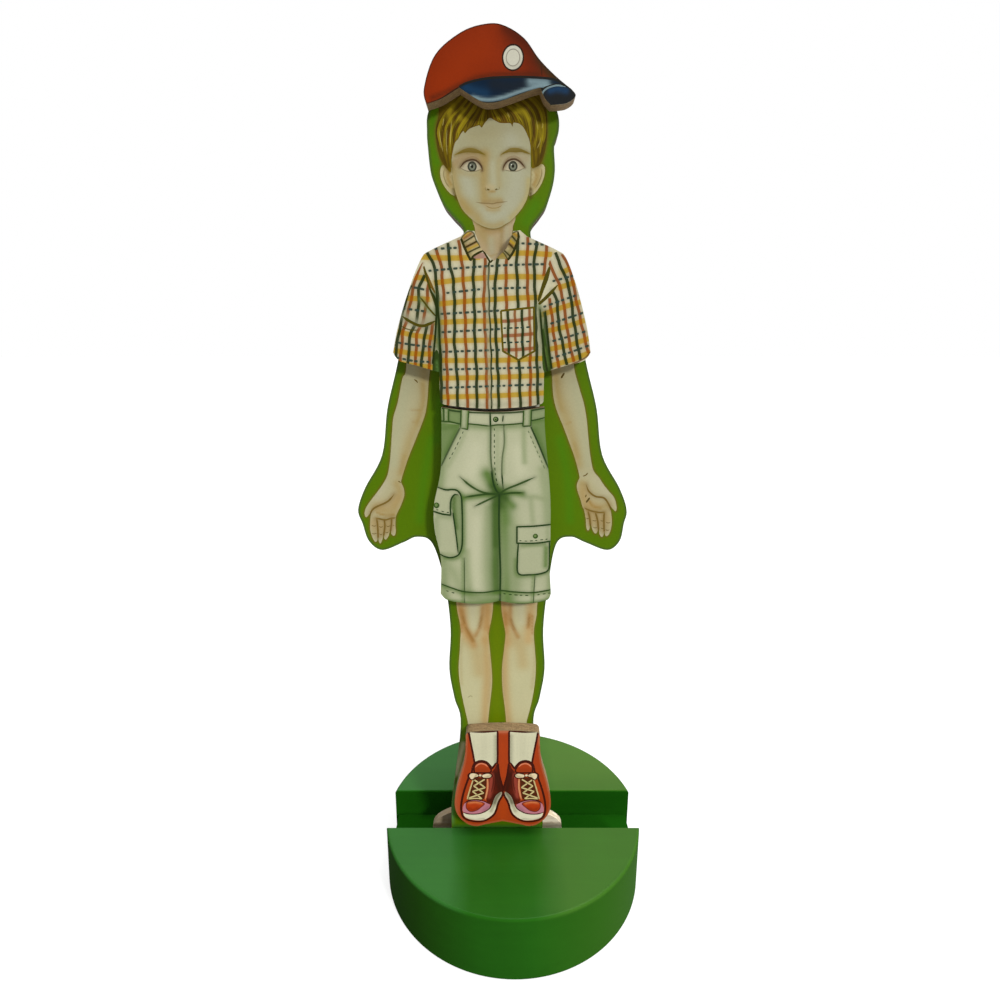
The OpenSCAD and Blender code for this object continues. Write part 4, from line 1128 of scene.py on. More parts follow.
def draw_shirt(s, i):
    """Plaid shirt with short sleeves, a breast pocket and a collar."""
    shade_green = linear(0.22, 0.30, 0.16)
    shade = between(i.cloth, shade_green, 0.5)
    sleeve_left = s.at(424.4,262, 418,270, 409,290, 402,312, 394,345, 388,358, 396,366, 415,371,
        432,371.5, 434,371, 434.6,350, 434.2,325, 436.6,309, 433,298, 428,282)
    sleeve_right = s.at(549,262, 556,252, 566,258, 576,284, 583,312, 590,345, 592,352, 584,359, 565,367,
        551,371, 547,371, 544,350, 541,325, 539.6,308, 543,293, 548,272)
    s.shades(
        side_left=(1.3, shade, 0.8, (442,300, 441,350, 443,400)),
        side_right=(1.1, shade, 0.7, (541.5,310, 541,350, 543,400)),
        hem_shade=(0.8, shade, 0.45, (452,404, 490,405, 536,402)))
    bands = s.runs((416,256.6, 444.7,258, 468.2,257.7, 480,257), (500,254.6, 512,253.6, 525.7,253.1,
        552,254.6), (434,283, 455,280.4, 473.4,278.6, 512.7,276.6, 545,277.3), (434,304.6, 455,302.4,
        473.4,300.8, 512.7,298.2, 540,297.4), (434,322.6, 473.4,321.1, 505,321), (436,340.9, 473,340.4,
        510,340), (437,360.5, 499.6,360.3, 546,358.2), (438,378.2, 499,377.2, 547,375.1), (438,397.1,
        499,395.6, 547,392.8))
    dashed = s.runs((434,248.9, 459,247.7), (521,243.3, 547,244.8), (428,270.9, 468.2,267.5, 512.7,264.9,
        545,264.2), (446,293.1, 482,289), (491.5,288.5, 526,287.7), (440,314, 499,310.6), (441,332.3,
        500,329), (442,351.9, 500,349.9), (442.5,369.6, 541,367.4), (442.5,387.9, 542,384.4))
    pines = s.runs((427,252.5, 432.9,262.9, 436.2,279.9, 437.5,298.2, 438.1,316.5, 439.5,342.7,
        440.8,368.8, 441.4,404), (447.9,243, 449.3,261.6, 453.2,281.2, 454.5,310, 454.5,342.7,
        457.1,375.3, 457.8,409), (474.1,255, 473.4,277.3, 474.1,298.2, 474.5,316.5, 475,342.7,
        476.7,375.3, 476.7,410), (498.3,256.4, 495.7,277.3, 495,303.4, 496.3,342.7, 498.3,381.9,
        498.5,410), (517.9,238, 516.6,264.2, 517.6,290.4, 517.9,312, 518.6,340, 519.2,359.7, 520.5,410),
        (536.9,240, 534.2,264.2, 534.9,287.8, 535.5,312, 536.2,340, 536.8,355.7, 538.2,408))
    rusts = s.runs((435.5,247, 440.8,264.2, 442.7,283.8, 444.7,310, 446,342.7, 447.3,381.9, 447.9,407),
        (458.4,240, 461.7,261.6, 463.6,283.8, 464.9,310, 465.6,342.7, 466.9,375.3, 467.6,409.5),
        (485.2,258, 484.6,279.9, 483.9,303.4, 485.2,329.6, 486.5,368.8, 487.2,410), (506.8,258,
        505.9,277.3, 506.1,298.2, 506.8,312, 507.6,335, 508.7,353.1, 509.8,409.5), (527.7,237, 527,264.2,
        527.7,290.4, 528.4,312, 529.4,335, 530.3,355.7, 530.3,409), (546.7,245, 545.3,262.9, 543.6,276))
    weave(s, i, bands, rusts, pines, dashed)
    placket = s.at(489.8,261, 488.5,270.8, 489.1,303.4, 491.1,355.7, 491.5,409.5)
    plaid_line(s, placket, 0.4, i.pine)
    s.shades(placket_shade=(0.45, shade, 0.5, (487.4,268, 487.8,330, 490,405)))
    draw_sleeves(s, i, sleeve_left, sleeve_right, shade)
    draw_pocket(s, i)
    draw_collar(s, i)
    s.lines(
        hem=(0.5, between(i.pine, i.black, 0.5), (0.8, 0.8), 1.0, (441,406.2, 458,409.2, 490,410.4,
            520,409.6, 545,406)))


def draw_sleeves(s, i, left, right, shade):
    """Both sleeves, cut on the slant."""
    s.fill(left, i.cloth, "sleeve")
    s.fill(right, i.cloth, "sleeve")
    tan = linear(0.60, 0.50, 0.28)
    s.shades("sleeve",
        cuff_left=(3.4, tan, 0.3, (398,346, 412,352, 430,356)),
        fold_left=(2.4, between(tan, shade, 0.5), 0.35, (410,300, 420,310, 426,318)),
        cuff_right=(4.0, tan, 0.1, (556,318, 572,330, 586,346)),
        inner_left=(1.2, shade, 0.8, (434,330, 433,350, 433,370)),
        inner_right=(1.1, shade, 0.75, (545,330, 547,350, 550,370)),
        elbow_fold=(0.9, shade, 0.7, (404,318, 414,325, 424,328, 434,325)),
        hem_left=(0.7, shade, 0.6, (392,362, 410,368, 430,370)),
        hem_right=(0.7, shade, 0.6, (556,368, 575,361, 590,353)))
    bands = s.runs((410,276.6, 422.5,278, 428,279.4), (405,298, 416,298.6, 430,299.4), (397,331.6,
        406,333.6, 414.6,335.5, 434,337.6), (393,350, 404,352.2, 414.6,353.8, 434,354), (392,361,
        408,364.6, 434,367.4), (562,272.6, 570,268.6, 578,264.6), (558,287.8, 568,284.8, 582,280),
        (540,315.4, 558.4,308.7, 570,305, 584,301), (542,332, 565,327, 576,323.4, 588,319.2), (545,350,
        568.9,345.3, 580,341.6, 592,337.2), (548,366.6, 571.5,359.7, 582,355.6, 594,351))
    rusts = s.runs((421.5,262, 415.9,277.3, 410.7,300.8, 406.1,321.7, 402.8,333.5, 400.2,364),
        (428.5,284, 426.4,303.4, 423.1,321.7, 417.2,333.5, 415.3,370), (432.6,322, 429.6,346.6, 429,371),
        (562,254, 570.2,270.8, 574.8,293, 579.3,313.9, 583.3,332.2, 588.5,353), (548.6,260.3,
        555.8,277.3, 561,290.4, 565,313.9, 568.9,340, 574,362), (549.6,298.2, 551.9,316.5, 554.5,340,
        559,368))
    pines = s.runs((411,285, 406.6,296, 403,312, 399.4,330, 396.8,345, 394.6,362), (424.8,275,
        419.2,287.8, 418.5,303.4, 416.6,321.7, 410.7,333.5, 407.4,367), (427.4,324, 423.1,346.6,
        421.1,370), (553.2,248, 561,266.8, 568.9,287.8, 572.8,313.9, 576.1,336.1, 580.4,360),
        (551.9,290.4, 557.1,302.1, 558.4,321.7, 561.7,340, 567,365), (544.6,312, 546,336.1, 551.4,369))
    dashed = s.runs((407,286.8, 416,287.8, 426,290), (402,308.6, 414,309.8, 428,312), (398,342.6,
        414,345, 432,347), (396,357.4, 414,361, 432,362), (552,281.4, 564,278.2, 578,274.4), (543,307.2,
        560,301, 580,294), (544,325.8, 565,319, 584,312.4), (546,342.9, 566,337.4, 588,330.6),
        (550,358.6, 570,352.4, 590,345))
    weave(s, i, bands, rusts, pines, dashed, ["sleeve", "sleeve_rust"], "sleeve_rust")
    draw_sleeve_folds(s, i, shade)


def draw_sleeve_folds(s, i, shade):
    """Folds and seams of the sleeves, and the dark wedges between them and the body."""
    fold = between(i.pine, i.ochre, 0.12)
    sage_green = linear(0.40, 0.47, 0.29)
    s.shades(
        armpits=(0.85, sage_green, 0.8, (434.4,292, 436.8,305, 437.8,325, 437.4,348), (539.4,306,
            542,325, 544.6,348), (421,299, 428,308, 434,314)))
    s.shades(["sleeve", "sleeve_rust"], elbow_shade=(1.2, shade, 0.7, (405,316, 418,323, 432,319)))
    shoulder_fold = s.at(423,266.4, 429.2,277.3, 435.6,293, 433.3,291.4, 426.4,280)
    fold_brown = linear(0.43, 0.32, 0.09)
    s.fill(shoulder_fold, fold_brown, "fold")
    armpit_folds = s.runs((548.9,266.6, 550.4,269, 548.4,278.7, 543.6,291.1, 539.4,301.4, 537.6,299.8,
        540.6,288.3, 544.7,275.9), (557.9,284.6, 553.2,292.5, 546.3,299.6, 539.9,304.8, 538.2,303,
        543.3,298, 550.2,291))
    for ring in armpit_folds:
        s.fill(ring, fold, "fold")
    s.lines(
        shoulder_seam=(0.5, fold, (0.4, 0.6), 1.0, (424,266, 426.8,278, 430.4,290, 434,300, 437,309)),
        upper_fold=(0.42, fold, (0.1, 0.5), 1.0, (419.4,296.5, 424,302, 429,308.6, 435.5,316)),
        elbow_line=(0.7, fold, (0.2, 0.3), 1.0, (402,316, 407,319.6, 412.5,322.8, 418,325.2, 423.5,325.8,
            429,324, 435,321)),
        low_line=(0.34, fold, (0.2, 0.1), 0.8, (400.6,325.6, 406,328.6, 412.6,330.2, 419,329.8)))
    wedge_left = s.at(432.7,365, 435.4,350.5, 438.9,354, 440.4,372.8, 433.3,371.6)
    s.fill(wedge_left, between(i.pine, i.moss, 0.2), "wedge")
    wedge_green = linear(0.31, 0.44, 0.21)
    s.shades("wedge", wedge_glow=(0.4, wedge_green, 0.85, (437,362, 437.6,371)))
    wedge_right = s.at(543,328.4, 548.2,353.3, 551.4,367.4, 546.1,374, 542.4,364.3)
    s.fill(wedge_right, between(i.pine, i.moss, 0.35), "wedge")
    wedge_pale = linear(0.37, 0.46, 0.22)
    s.shades("wedge", wedge_light=(0.4, wedge_pale, 0.8, (545,348, 547.4,366)))
    sleeve_seams = s.runs((430.4,290, 434.6,298, 436.4,310, 436,322, 435.2,336, 434,350, 432.8,364),
        (436.4,288, 437.4,305.7, 439,321.5, 439.3,333, 440.1,349, 440.8,372), (540,309, 541.6,330,
        543.8,350, 547.4,372), (545.4,311, 547.2,330, 549,348, 551.6,369))
    for run in sleeve_seams:
        s.soft(run, 0.6, i.pine, 0.45)
        s.line(run, 0.5, i.pine, (0.4, 0.8))
    s.lines(
        cuff_lines=(0.4, between(i.rust, i.pine, 0.5), (0.5, 0.5), 0.8, (388.6,357, 396,365.4, 414.6,370.6,
            433,371.8), (550,371.4, 566,366.8, 584,358.6, 591.6,350.4)))


def draw_pocket(s, i):
    """Breast pocket with a red check."""
    ring = s.at(500.9,310.8, 533.8,307.4, 534.4,351.2, 518.6,359.9, 502.9,351.2)
    s.fill(ring, i.cloth, "pocket", smooth=False)
    red, ember = linear(0.56, 0.295, 0.13), linear(0.50, 0.28, 0.09)
    red_bands = s.runs((500,321.4, 517,320.4, 535,317.4), (501,336, 517,335.2, 535,333.6), (501,350,
        517,349.6, 535,348))
    for run in red_bands:
        s.soft(run, 0.6, red, 0.4, "pocket")
        s.line(run, 0.82, red, (1, 1), 0.8, "pocket")
    ember_lines = s.runs((515,309, 515.4,330, 516.2,358), (529.4,308, 530,330, 530.4,356))
    for run in ember_lines:
        plaid_line(s, run, 0.62, ember, "pocket", 0.85)
    pine_lines = s.runs((507.6,310, 508.3,330, 508.6,356), (522,309, 522.4,330, 523,358))
    for run in pine_lines:
        plaid_line(s, run, 0.66, i.pine, "pocket", 0.95)
    s.stitches("pocket",
        dash_rows=(0.42, i.navy, 0.85, 0.55, 1.0, (503,328.2, 518,327.8, 533,326.8), (503,342.6,
            518,342.2, 533,341.2)))
    outline = [corner for corner in round_trip(ring) for _ in range(2)]
    s.line(outline, 0.5, between(i.pine, i.ochre, 0.2), (1, 1))


def draw_collar(s, i):
    """Collar flaps with slanted stripes, and the open neck."""
    line_brown = linear(0.20, 0.17, 0.03)
    dark = between(i.pine, line_brown, 0.6)
    under_left = s.at(473.6,256, 479.2,253.2, 484.1,253, 486.6,257.6, 475,258.6)
    under_pink = linear(0.62, 0.47, 0.42)
    s.fill(under_left, under_pink, "under", 0.85)
    under_right = s.at(497.2,253.4, 503,251.6, 507.4,258.4, 497.4,258.4)
    under_olive = linear(0.56, 0.49, 0.24)
    s.fill(under_right, under_olive, "under", 0.85)
    left = s.at(461,238.5, 461,238.5, 463.4,235.4, 466.9,232.2, 470.8,231.4, 473.8,233.4, 475.7,239.2,
        479.2,244.8, 483,249.4, 482,251.4, 476.4,253.6, 472.9,256.4, 470.8,260.4, 470.8,260.4,
        467.3,253.9, 463.8,245.5)
    right = s.at(510.7,234.3, 514.2,232.2, 517.9,231.6, 518.6,237.1, 517,242.7, 514.2,250.4, 510.7,256.7,
        507.9,259.7, 507.9,259.7, 505.1,254.6, 502,250, 505.6,243.4, 508.6,238.5)
    cream, olive = linear(0.74, 0.68, 0.50), linear(0.44, 0.40, 0.17)
    s.fill(left, cream, "collar")
    s.fill(right, between(cream, olive, 0.2), "collar")
    s.shades("collar",
        collar_shades=(0.8, olive, 0.6, (463,241, 467,250, 471,257), (516,236, 513,246, 508,255),
            (512,234, 508,242)))
    stripes = ((s.at(463.6,238.4, 471.6,233.2), 0.9, i.rust), (s.at(466,247, 477.4,241.4), 0.8, i.rust),
        (s.at(467.4,249.6, 479,244), 0.7, i.ochre), (s.at(462.4,236.8, 470,231.6), 0.5, i.ochre),
        (s.at(506,241, 512.6,246.4), 0.95, i.rust), (s.at(507.4,238.6, 514.4,244), 0.8, i.ochre),
        (s.at(512.4,232.6, 518,236.4), 0.8, between(i.ochre, i.rust, 0.4)))
    for run, width, ink in stripes:
        s.soft(run, width * 0.6, ink, 0.6, "collar")
        s.line(run, width * 0.6, ink, (0.5, 0.5), 0.6, "collar")
    collar_lines = s.runs((463,242.8, 469.4,238.8, 475,235.2), (465,247.6, 471,244.4, 477.4,240.8),
        (468,252.6, 474,249.6, 481,246.4), (506.4,241.6, 510.6,245.4, 514.4,249.4), (510.6,234.6,
        513.6,238, 517,242), (502.6,249, 506.4,252.6, 510.6,256.6))
    for run in collar_lines:
        s.soft(run, 0.4, dark, 0.5, "collar")
        s.line(run, 0.34, dark, (0.8, 0.8), 0.9, "collar")
    for run in (left[1:] + left[:1], right + right[:1]):
        s.line(run, 0.36, dark, (1, 1), 0.75)
    s.lines(
        edge_left=(0.6, dark, (0.7, 0.7), 1.0, (461,238.5, 463.8,245.8, 467.4,254, 470.8,260.6)),
        point_left=(0.5, dark, (0.8, 0.3), 1.0, (470.8,260.6, 473,256.4, 476.6,253.8, 483,250.6)),
        edge_right=(0.6, dark, (0.5, 0.7), 1.0, (517.9,231.8, 518.6,237.4, 516.6,244, 513.4,251.6,
            508,260)),
        opening_left=(0.42, dark, (0.5, 0.7), 1.0, (483,250.4, 487,257, 490.4,262.6)),
        opening_right=(0.42, dark, (0.5, 0.7), 1.0, (498.4,252.6, 494.6,257.4, 490.4,262.6)))


def draw_shorts(s, i):
    """Cargo shorts with a waistband, fly, slant pockets and two pouches."""
    ink, moss = i.seam, i.moss
    mid = between(i.sage, moss, 0.45)
    shade_shorts(s, i, ink, moss, mid)
    draw_waistband(s, i, ink, moss)
    draw_fly(s, ink, moss, mid)
    draw_side_pouch(s, i, ink, moss, mid)
    draw_front_pouch(s, i, ink, moss, mid)
    draw_hems(s, ink, moss, mid)


def shade_shorts(s, i, ink, moss, mid):
    """Soft folds of the cloth."""
    warm_white = linear(1, 0.98, 0.86)
    light = between(i.sage, warm_white, 0.15)
    s.shades(
        side_left=(1.8, between(i.sage, moss, 0.6), 0.95, (443,420, 442,460, 439,500, 443,560, 445,600)),
        side_right=(1.5, between(i.sage, moss, 0.55), 0.95, (545,425, 549,470, 551,520, 550,600)),
        legs_low=(5.0, mid, 0.35, (452,570, 470,580, 490,570, 520,580, 540,560)),
        hip_left=(3.6, light, 0.9, (476,450, 472,470)),
        hip_right=(2.6, light, 0.8, (518,450, 520,470)),
        leg_light=(2.2, light, 0.7, (477,520, 476,560, 477,585)),
        crease_soft=(1.6, mid, 0.8, (488,508, 487,540, 488,575, 489,598)),
        inner_leg=(1.7, between(moss, ink, 0.3), 0.95, (495.4,505, 495,540, 495,575, 496,598)),
        seam_dark=(0.6, between(moss, ink, 0.7), 0.8, (498.4,500, 498,540, 498,575, 498.4,600)),
        leg_right=(3.0, between(i.sage, moss, 0.95), 0.95, (504,508, 507,540, 509,570, 508,598)),
        leg_mid=(2.0, mid, 0.85, (513,530, 512,560, 514,590)),
        leg_left=(1.3, mid, 0.9, (466,552, 467,575, 470,598)),
        below_pouch=(1.6, mid, 0.7, (448,566, 455,575, 460,590)),
        hip_fold=(0.9, mid, 0.9, (524,425, 524,445, 524.6,462)),
        below_band=(0.9, mid, 0.6, (470,428, 484,429, 500,429, 520,428)),
        slant_edge=(0.8, mid, 0.6, (465,432, 458,448, 448,466)),
        thigh_fold=(0.9, mid, 0.8, (526,497, 536,497, 547,500)),
        thigh_crease=(0.9, mid, 0.7, (531,500, 532,512, 533,522)),
        outer_right=(1.5, mid, 0.8, (542,470, 546,500, 547,520)),
        fly_shade=(2.1, moss, 0.95, (487,474, 493,486, 500,493)),
        fold_right=(1.0, mid, 0.8, (506,486, 514,487, 524,483)),
        fold_left=(1.0, mid, 0.8, (466,482, 476,489, 488,494)),
        hem_left=(1.6, moss, 0.7, (466,594, 482,599, 497,597)),
        crotch_left=(1.2, moss, 0.85, (463,498, 480,496, 496,494.6)),
        crotch_right=(1.3, moss, 0.9, (502,493.4, 512,493, 522,494)),
        crotch=(2.1, between(moss, ink, 0.55), 0.95, (498,494, 500,504)),
        crotch_low=(1.3, moss, 0.8, (505,498, 513,506)),
        crotch_dark=(1.5, between(moss, ink, 0.75), 0.8, (493,486, 499,494, 505,498)),
        fly_dark=(0.9, between(moss, ink, 0.5), 0.7, (492.6,470, 494,482, 498,491)),
        seam_top=(1.0, between(moss, ink, 0.6), 0.7, (495,500, 495,520, 495.6,545)),
        hem_edge=(0.7, moss, 0.8, (443,600, 470,603, 500,603, 530,603, 551,599)))


def draw_waistband(s, i, ink, moss):
    """Waistband with its loops and button, and the dark cloth inside the slant pockets."""
    side = between(moss, i.sage, 0.22)
    slant_left = s.at(441.6,423.6, 441.6,423.6, 459.6,424.6, 459.6,424.6, 459.4,429.4, 459.4,429.4,
        441.4,465.8, 441.4,465.8, 440.6,440)
    s.fill(slant_left, side, "slant")
    slant_right = s.at(532,421, 532,421, 544.6,419, 544.6,419, 547.6,444, 548.4,468, 548.4,468, 531.4,428,
        531.4,428)
    s.fill(slant_right, side, "slant")
    s.shades("slant",
        slant_shade_left=(1.0, between(moss, ink, 0.2), 0.6, (456,432, 446,454)),
        slant_shade_right=(1.0, between(moss, ink, 0.2), 0.55, (535,430, 545,456)),
        slant_top=(0.8, between(moss, ink, 0.3), 0.5, (443,428, 456,427)))
    band_left = s.at(441.6,407, 441.6,407, 461,409, 461,409, 460,424.4, 460,424.4, 441.4,421.6,
        441.4,421.6)
    s.fill(band_left, between(moss, i.sage, 0.25), "band")
    band_right = s.at(531,409, 531,409, 545.4,406, 545.4,406, 545.6,417.6, 545.6,417.6, 531,421, 531,421)
    s.fill(band_right, between(moss, i.sage, 0.45), "band")
    band_lines = s.runs((441.4,421.2, 448,421.4, 460.4,424.2), (468,423.8, 480,425, 489.6,426.2),
        (489.6,426.2, 496,425, 504.6,424.8, 514,424.2, 523.7,423.2), (531,420.8, 538,419.4, 545.8,417.4))
    for run in band_lines:
        s.stroke(run, 0.36, ink, (0.6, 0.6))
        s.soft(moved(run, up=-0.5), 0.55, moss, 0.5)
    s.strokes(
        band_top=(0.45, ink, (0.8, 0.8), 0.9, (441.6,408, 458,411.4, 490,413, 520,412, 545.6,408)))
    loops = s.runs((443.8,408.4, 448.6,409.2, 448.4,421.4, 444,421.4), (461.2,409.4, 468.7,410.4,
        467.6,429.4, 460.6,428), (523.6,410.4, 531.4,409.4, 530.8,426, 523,426.2))
    for ring in loops:
        s.fill(ring, between(i.sage, moss, 0.18), "loop", smooth=False)
        top_left, top_right, low_right, low_left = ring
        outline = [corner for corner in (top_left, low_left, low_right, top_right) for _ in range(2)]
        s.stroke(outline, 0.36, ink, (1, 1))
        s.soft([top_left, low_left], 0.4, moss, 0.5, "loop")
        s.soft([top_right, low_right], 0.7, between(moss, ink, 0.15), 0.75, "loop")
    button = s.at(495.8,419.4)[0]
    s.dot(button, 1.45, 1.45, between(ink, i.black, 0.2))
    button_face = s.at(495.5,419.1)[0]
    s.dot(button_face, 0.85, 0.85, between(moss, i.sage, 0.2))
    button_eye = s.at(495.8,419.5)[0]
    s.dot(button_eye, 0.4, 0.4, ink)


def draw_fly(s, ink, moss, mid):
    """Fly, edges of the slant pockets, creases and the seam between the legs."""
    s.strokes(
        buttonhole=(0.32, ink, (0.3, 0.3), 1.0, (503.2,415.4, 502.6,421.8)),
        fly=(0.46, ink, (0.6, 0.8), 1.0, (490.1,411.6, 490.6,436, 490.5,454, 491.6,470, 493.2,482,
            496,490, 499.8,494.2)),
        fly_edge=(0.4, ink, (0.5, 0.3), 1.0, (503.9,425.2, 504.4,443, 502.4,458, 502,474, 503.2,489)))
    s.stitches(fly_stitch=(0.3, ink, 0.7, 0.75, 1.0, (494.4,428, 494.4,455, 495.4,474, 497.6,485)))
    s.shades(fly_soft=(0.9, mid, 0.55, (497.4,430, 497.6,470)))
    s.strokes(pocket_left=(0.46, ink, (0.8, 0.4), 1.0, (460,428.4, 452,444, 441.3,466)))
    s.stitches(stitch_left=(0.26, ink, 0.8, 0.7, 0.85, (463.4,431, 455,449, 447,463)))
    s.strokes(pocket_right=(0.46, ink, (0.8, 0.4), 1.0, (530.8,427, 538,443, 548.2,468)))
    s.stitches(stitch_right=(0.28, ink, 0.8, 0.6, 0.9, (528,430.4, 535.6,448, 545.4,470)))
    s.strokes(
        creases=(0.5, between(ink, moss, 0.15), (1, 0.05), 0.95, (499.4,494.6, 484,492.6, 471.6,486.6,
            459.6,476.6), (499.6,494.2, 506,489.4, 518.2,484.4, 535,477.2), (499.8,494.8, 511,493,
            523.8,492.8), (499.4,494.8, 486.6,500.6, 474.6,506.4), (499,494, 484,494.4, 463.4,497.4)),
        leg_seam=(0.5, ink, (0.8, 0.8), 1.0, (499.4,494, 499,518, 499.6,546, 500.4,573, 499.8,605)))


def draw_hems(s, ink, moss, mid):
    """Last soft edges of the fly and pockets, the side seams and the turned-up hems."""
    s.shades(
        fly_shades=(0.5, mid, 0.7, (488.6,428, 489,454, 490,470), (505,428, 505.4,443, 503.6,458,
            503.4,474), (462,428, 454,444, 443.4,466), (528.4,428, 536,446, 545.6,468)))
    side_seams = s.runs((464.2,558, 464.4,580, 464.4,603), (535,575.6, 534,590, 533.4,603))
    for run in side_seams:
        s.stroke(run, 0.3, ink, (0.3, 0.6), 0.8)
        s.soft(moved(run, across=-0.5), 0.5, moss, 0.5)
    hem = s.at(441.2,584, 452.4,588.2, 464.8,591.8, 482.6,592.6, 499.8,590.6, 514.1,592, 533.3,592.6,
        552,589.6)
    s.stroke(hem, 0.42, ink, (0.7, 0.7))
    s.soft(moved(hem, up=-0.55), 0.5, moss, 0.55)
    s.stitches(
        hem_stitches=(0.28, ink, 0.8, 0.7, 1.0, (446,590.6, 456,593.6), (503,593.6, 516,595, 532,595.6),
            (537,595, 550,593)))
    s.shades(hem_soft=(0.9, mid, 0.6, (466,597, 480,598, 497,597)))
    s.strokes(
        hem_line=(0.4, ink, (0.7, 0.7), 0.8, (443,600.6, 464,604, 484,604.6, 500,603.4, 516,604,
            534,603.4, 551.4,599.6)))


def draw_side_pouch(s, i, ink, moss, mid):
    """Cargo pouch on the left, seen from its side."""
    left = s.at(434,500, 436.6,488, 438.7,486.9, 445.6,489.6, 452,489.4, 457.4,490.6, 461.2,496.6,
        462.2,512, 462.4,530, 462,545.6, 458.6,554.6, 451.4,557.6, 444,556.2, 437,552, 434,530)
    s.soft(moved(left[3:13], 0.4, -0.4), 0.8, moss, 0.7)
    s.fill(left, between(i.sage, moss, 0.10), "pouch")
    gusset = s.at(452.6,513, 451,506, 451.6,499, 454.6,494.6, 458.4,494.8, 461,500, 462,515, 462,545,
        458.6,553, 457,545, 455.2,530)
    s.fill(gusset, between(moss, i.sage, 0.4), "gusset")
    s.shades("gusset", gusset_shade=(0.7, between(moss, ink, 0.35), 0.8, (454.4,498, 454,508, 456.4,528)))
    s.shades("pouch",
        pouch_side=(1.0, mid, 0.7, (436,520, 437,545)),
        pouch_top=(0.7, mid, 0.8, (438,516.5, 450,518)),
        pouch_low=(0.7, mid, 0.8, (442,554, 454,555)))
    s.strokes(
        pouch_outline=(0.44, ink, (0.6, 0.5), 1.0, (437,487, 445.6,489.8, 452,489.6, 457.4,490.8,
            461.2,496.8, 462.2,512, 462.4,530, 462,545.6, 458.6,554.6, 451.4,557.6, 444,556.2, 437,552)),
        flap_side=(0.44, ink, (0.7, 0.3), 1.0, (450.8,515, 450.4,507, 451.2,499.4, 454.4,494.8,
            458,494.8)),
        gusset_line=(0.4, ink, (0.7, 0.3), 1.0, (453,513, 455.4,530, 457.2,544, 458,552.6)),
        flap_edge=(0.46, ink, (0.6, 0.8), 1.0, (433.6,511.4, 442,514, 450.8,515.2)))
    s.stitches(flap_stitch=(0.26, ink, 0.7, 0.7, 1.0, (436,509.4, 443,511.6, 449,512.6)))
    snap = s.at(436.6,505.4)[0]
    s.dot(snap, 1.5, 1.6, between(ink, moss, 0.25))
    snap_face = s.at(436.2,505)[0]
    s.dot(snap_face, 0.8, 0.9, between(moss, i.sage, 0.15))


def draw_front_pouch(s, i, ink, moss, mid):
    """Cargo pouch on the right, with its buttoned flap."""
    right = s.at(518.2,543.6, 518.2,543.6, 549.4,541.2, 549.4,541.2, 549.4,556, 548.6,569, 541.6,573.4,
        529.2,574.8, 518.4,573.6, 517.4,559)
    s.soft(moved(right[4:], -0.4, -0.3), 0.8, moss, 0.6)
    s.fill(right, between(i.sage, moss, 0.12), "pouch")
    s.shades("pouch",
        right_side=(0.9, moss, 0.85, (546,548, 545.6,566)),
        right_top=(0.6, moss, 0.6, (522,546, 545,544.4)))
    s.strokes(
        right_outline=(0.44, ink, (0.7, 0.7), 1.0, (518.3,544, 517.4,559, 518.4,573.4, 529.2,574.8,
            541.6,573.4, 548.6,569.2, 549.6,556, 549.4,542)))
    flap = s.at(516.9,527, 524,526.4, 534,526.2, 552.4,524.4, 552.4,541, 540,542.8, 530,543.4,
        516.9,543.2)
    s.fill(flap, between(i.sage, moss, 0.06), "flap", smooth=False)
    s.shades("flap", flap_shade=(0.9, mid, 0.7, (548,527, 548,539)))
    s.strokes(
        right_flap=(0.44, ink, (0.8, 0.8), 1.0, (552,524.4, 534,526.2, 517,526.8, 517,526.8, 516.9,543.2,
            516.9,543.2, 530,543.4, 540,542.8, 552,541)))
    s.stitches(right_stitch=(0.26, ink, 0.7, 0.7, 1.0, (519,540.6, 530,541, 548,539)))
    right_snap = s.at(535.4,536.2)[0]
    s.dot(right_snap, 1.4, 1.4, between(ink, moss, 0.25))
    right_snap_face = s.at(535.2,535.9)[0]
    s.dot(right_snap_face, 0.75, 0.75, between(moss, i.sage, 0.15))


def draw_shoes(s, i):
    """Two lace-up shoes with socks on a red ground."""
    middle, _ = s.at(503.3,780)[0]
    worn = linear(0.76, 0.45, 0.32)
    low_red = linear(0.72, 0.27, 0.07)
    strip_red = linear(0.70, 0.25, 0.07)
    rim_tan = linear(0.64, 0.38, 0.25)
    s.shades(
        outer_left=(1.2, between(i.shoe, worn, 0.35), 0.6, (462,750, 458,785, 457,810)),
        strip_light=(1.0, between(i.shoe, strip_red, 0.6), 0.6, (503.3,745, 503.3,775)),
        strip_low=(1.6, between(i.shoe, low_red, 0.6), 0.7, (503.3,800, 503.3,818)),
        top_worn=(0.7, worn, 0.9, (498,731, 503.3,731.2, 508,731)),
        # Pale scuffs at the top corners, and painted light down the right edge where the board's edge is
        # lit.
        worn_corners=(0.5, worn, 0.75, (465.6,734, 464.6,744), (538.6,734, 540,744), (541,750, 545.6,772,
            549.4,790)))
    s.line(round_trip(s.rim), 1.1, rim_tan, (1, 1), 0.45)
    sock_grey = linear(0.45, 0.43, 0.33)
    dim = between(i.sock, sock_grey, 0.6)
    for mirror in (None, middle):
        s.mirror = mirror
        draw_sock(s, i, i.shoe_line, dim)
        draw_upper(s, i, i.shoe_line)
        draw_laces(s, i, i.shoe_line)
        draw_toe(s, i, i.shoe_line)
        draw_sole(s, i.shoe_line, dim)


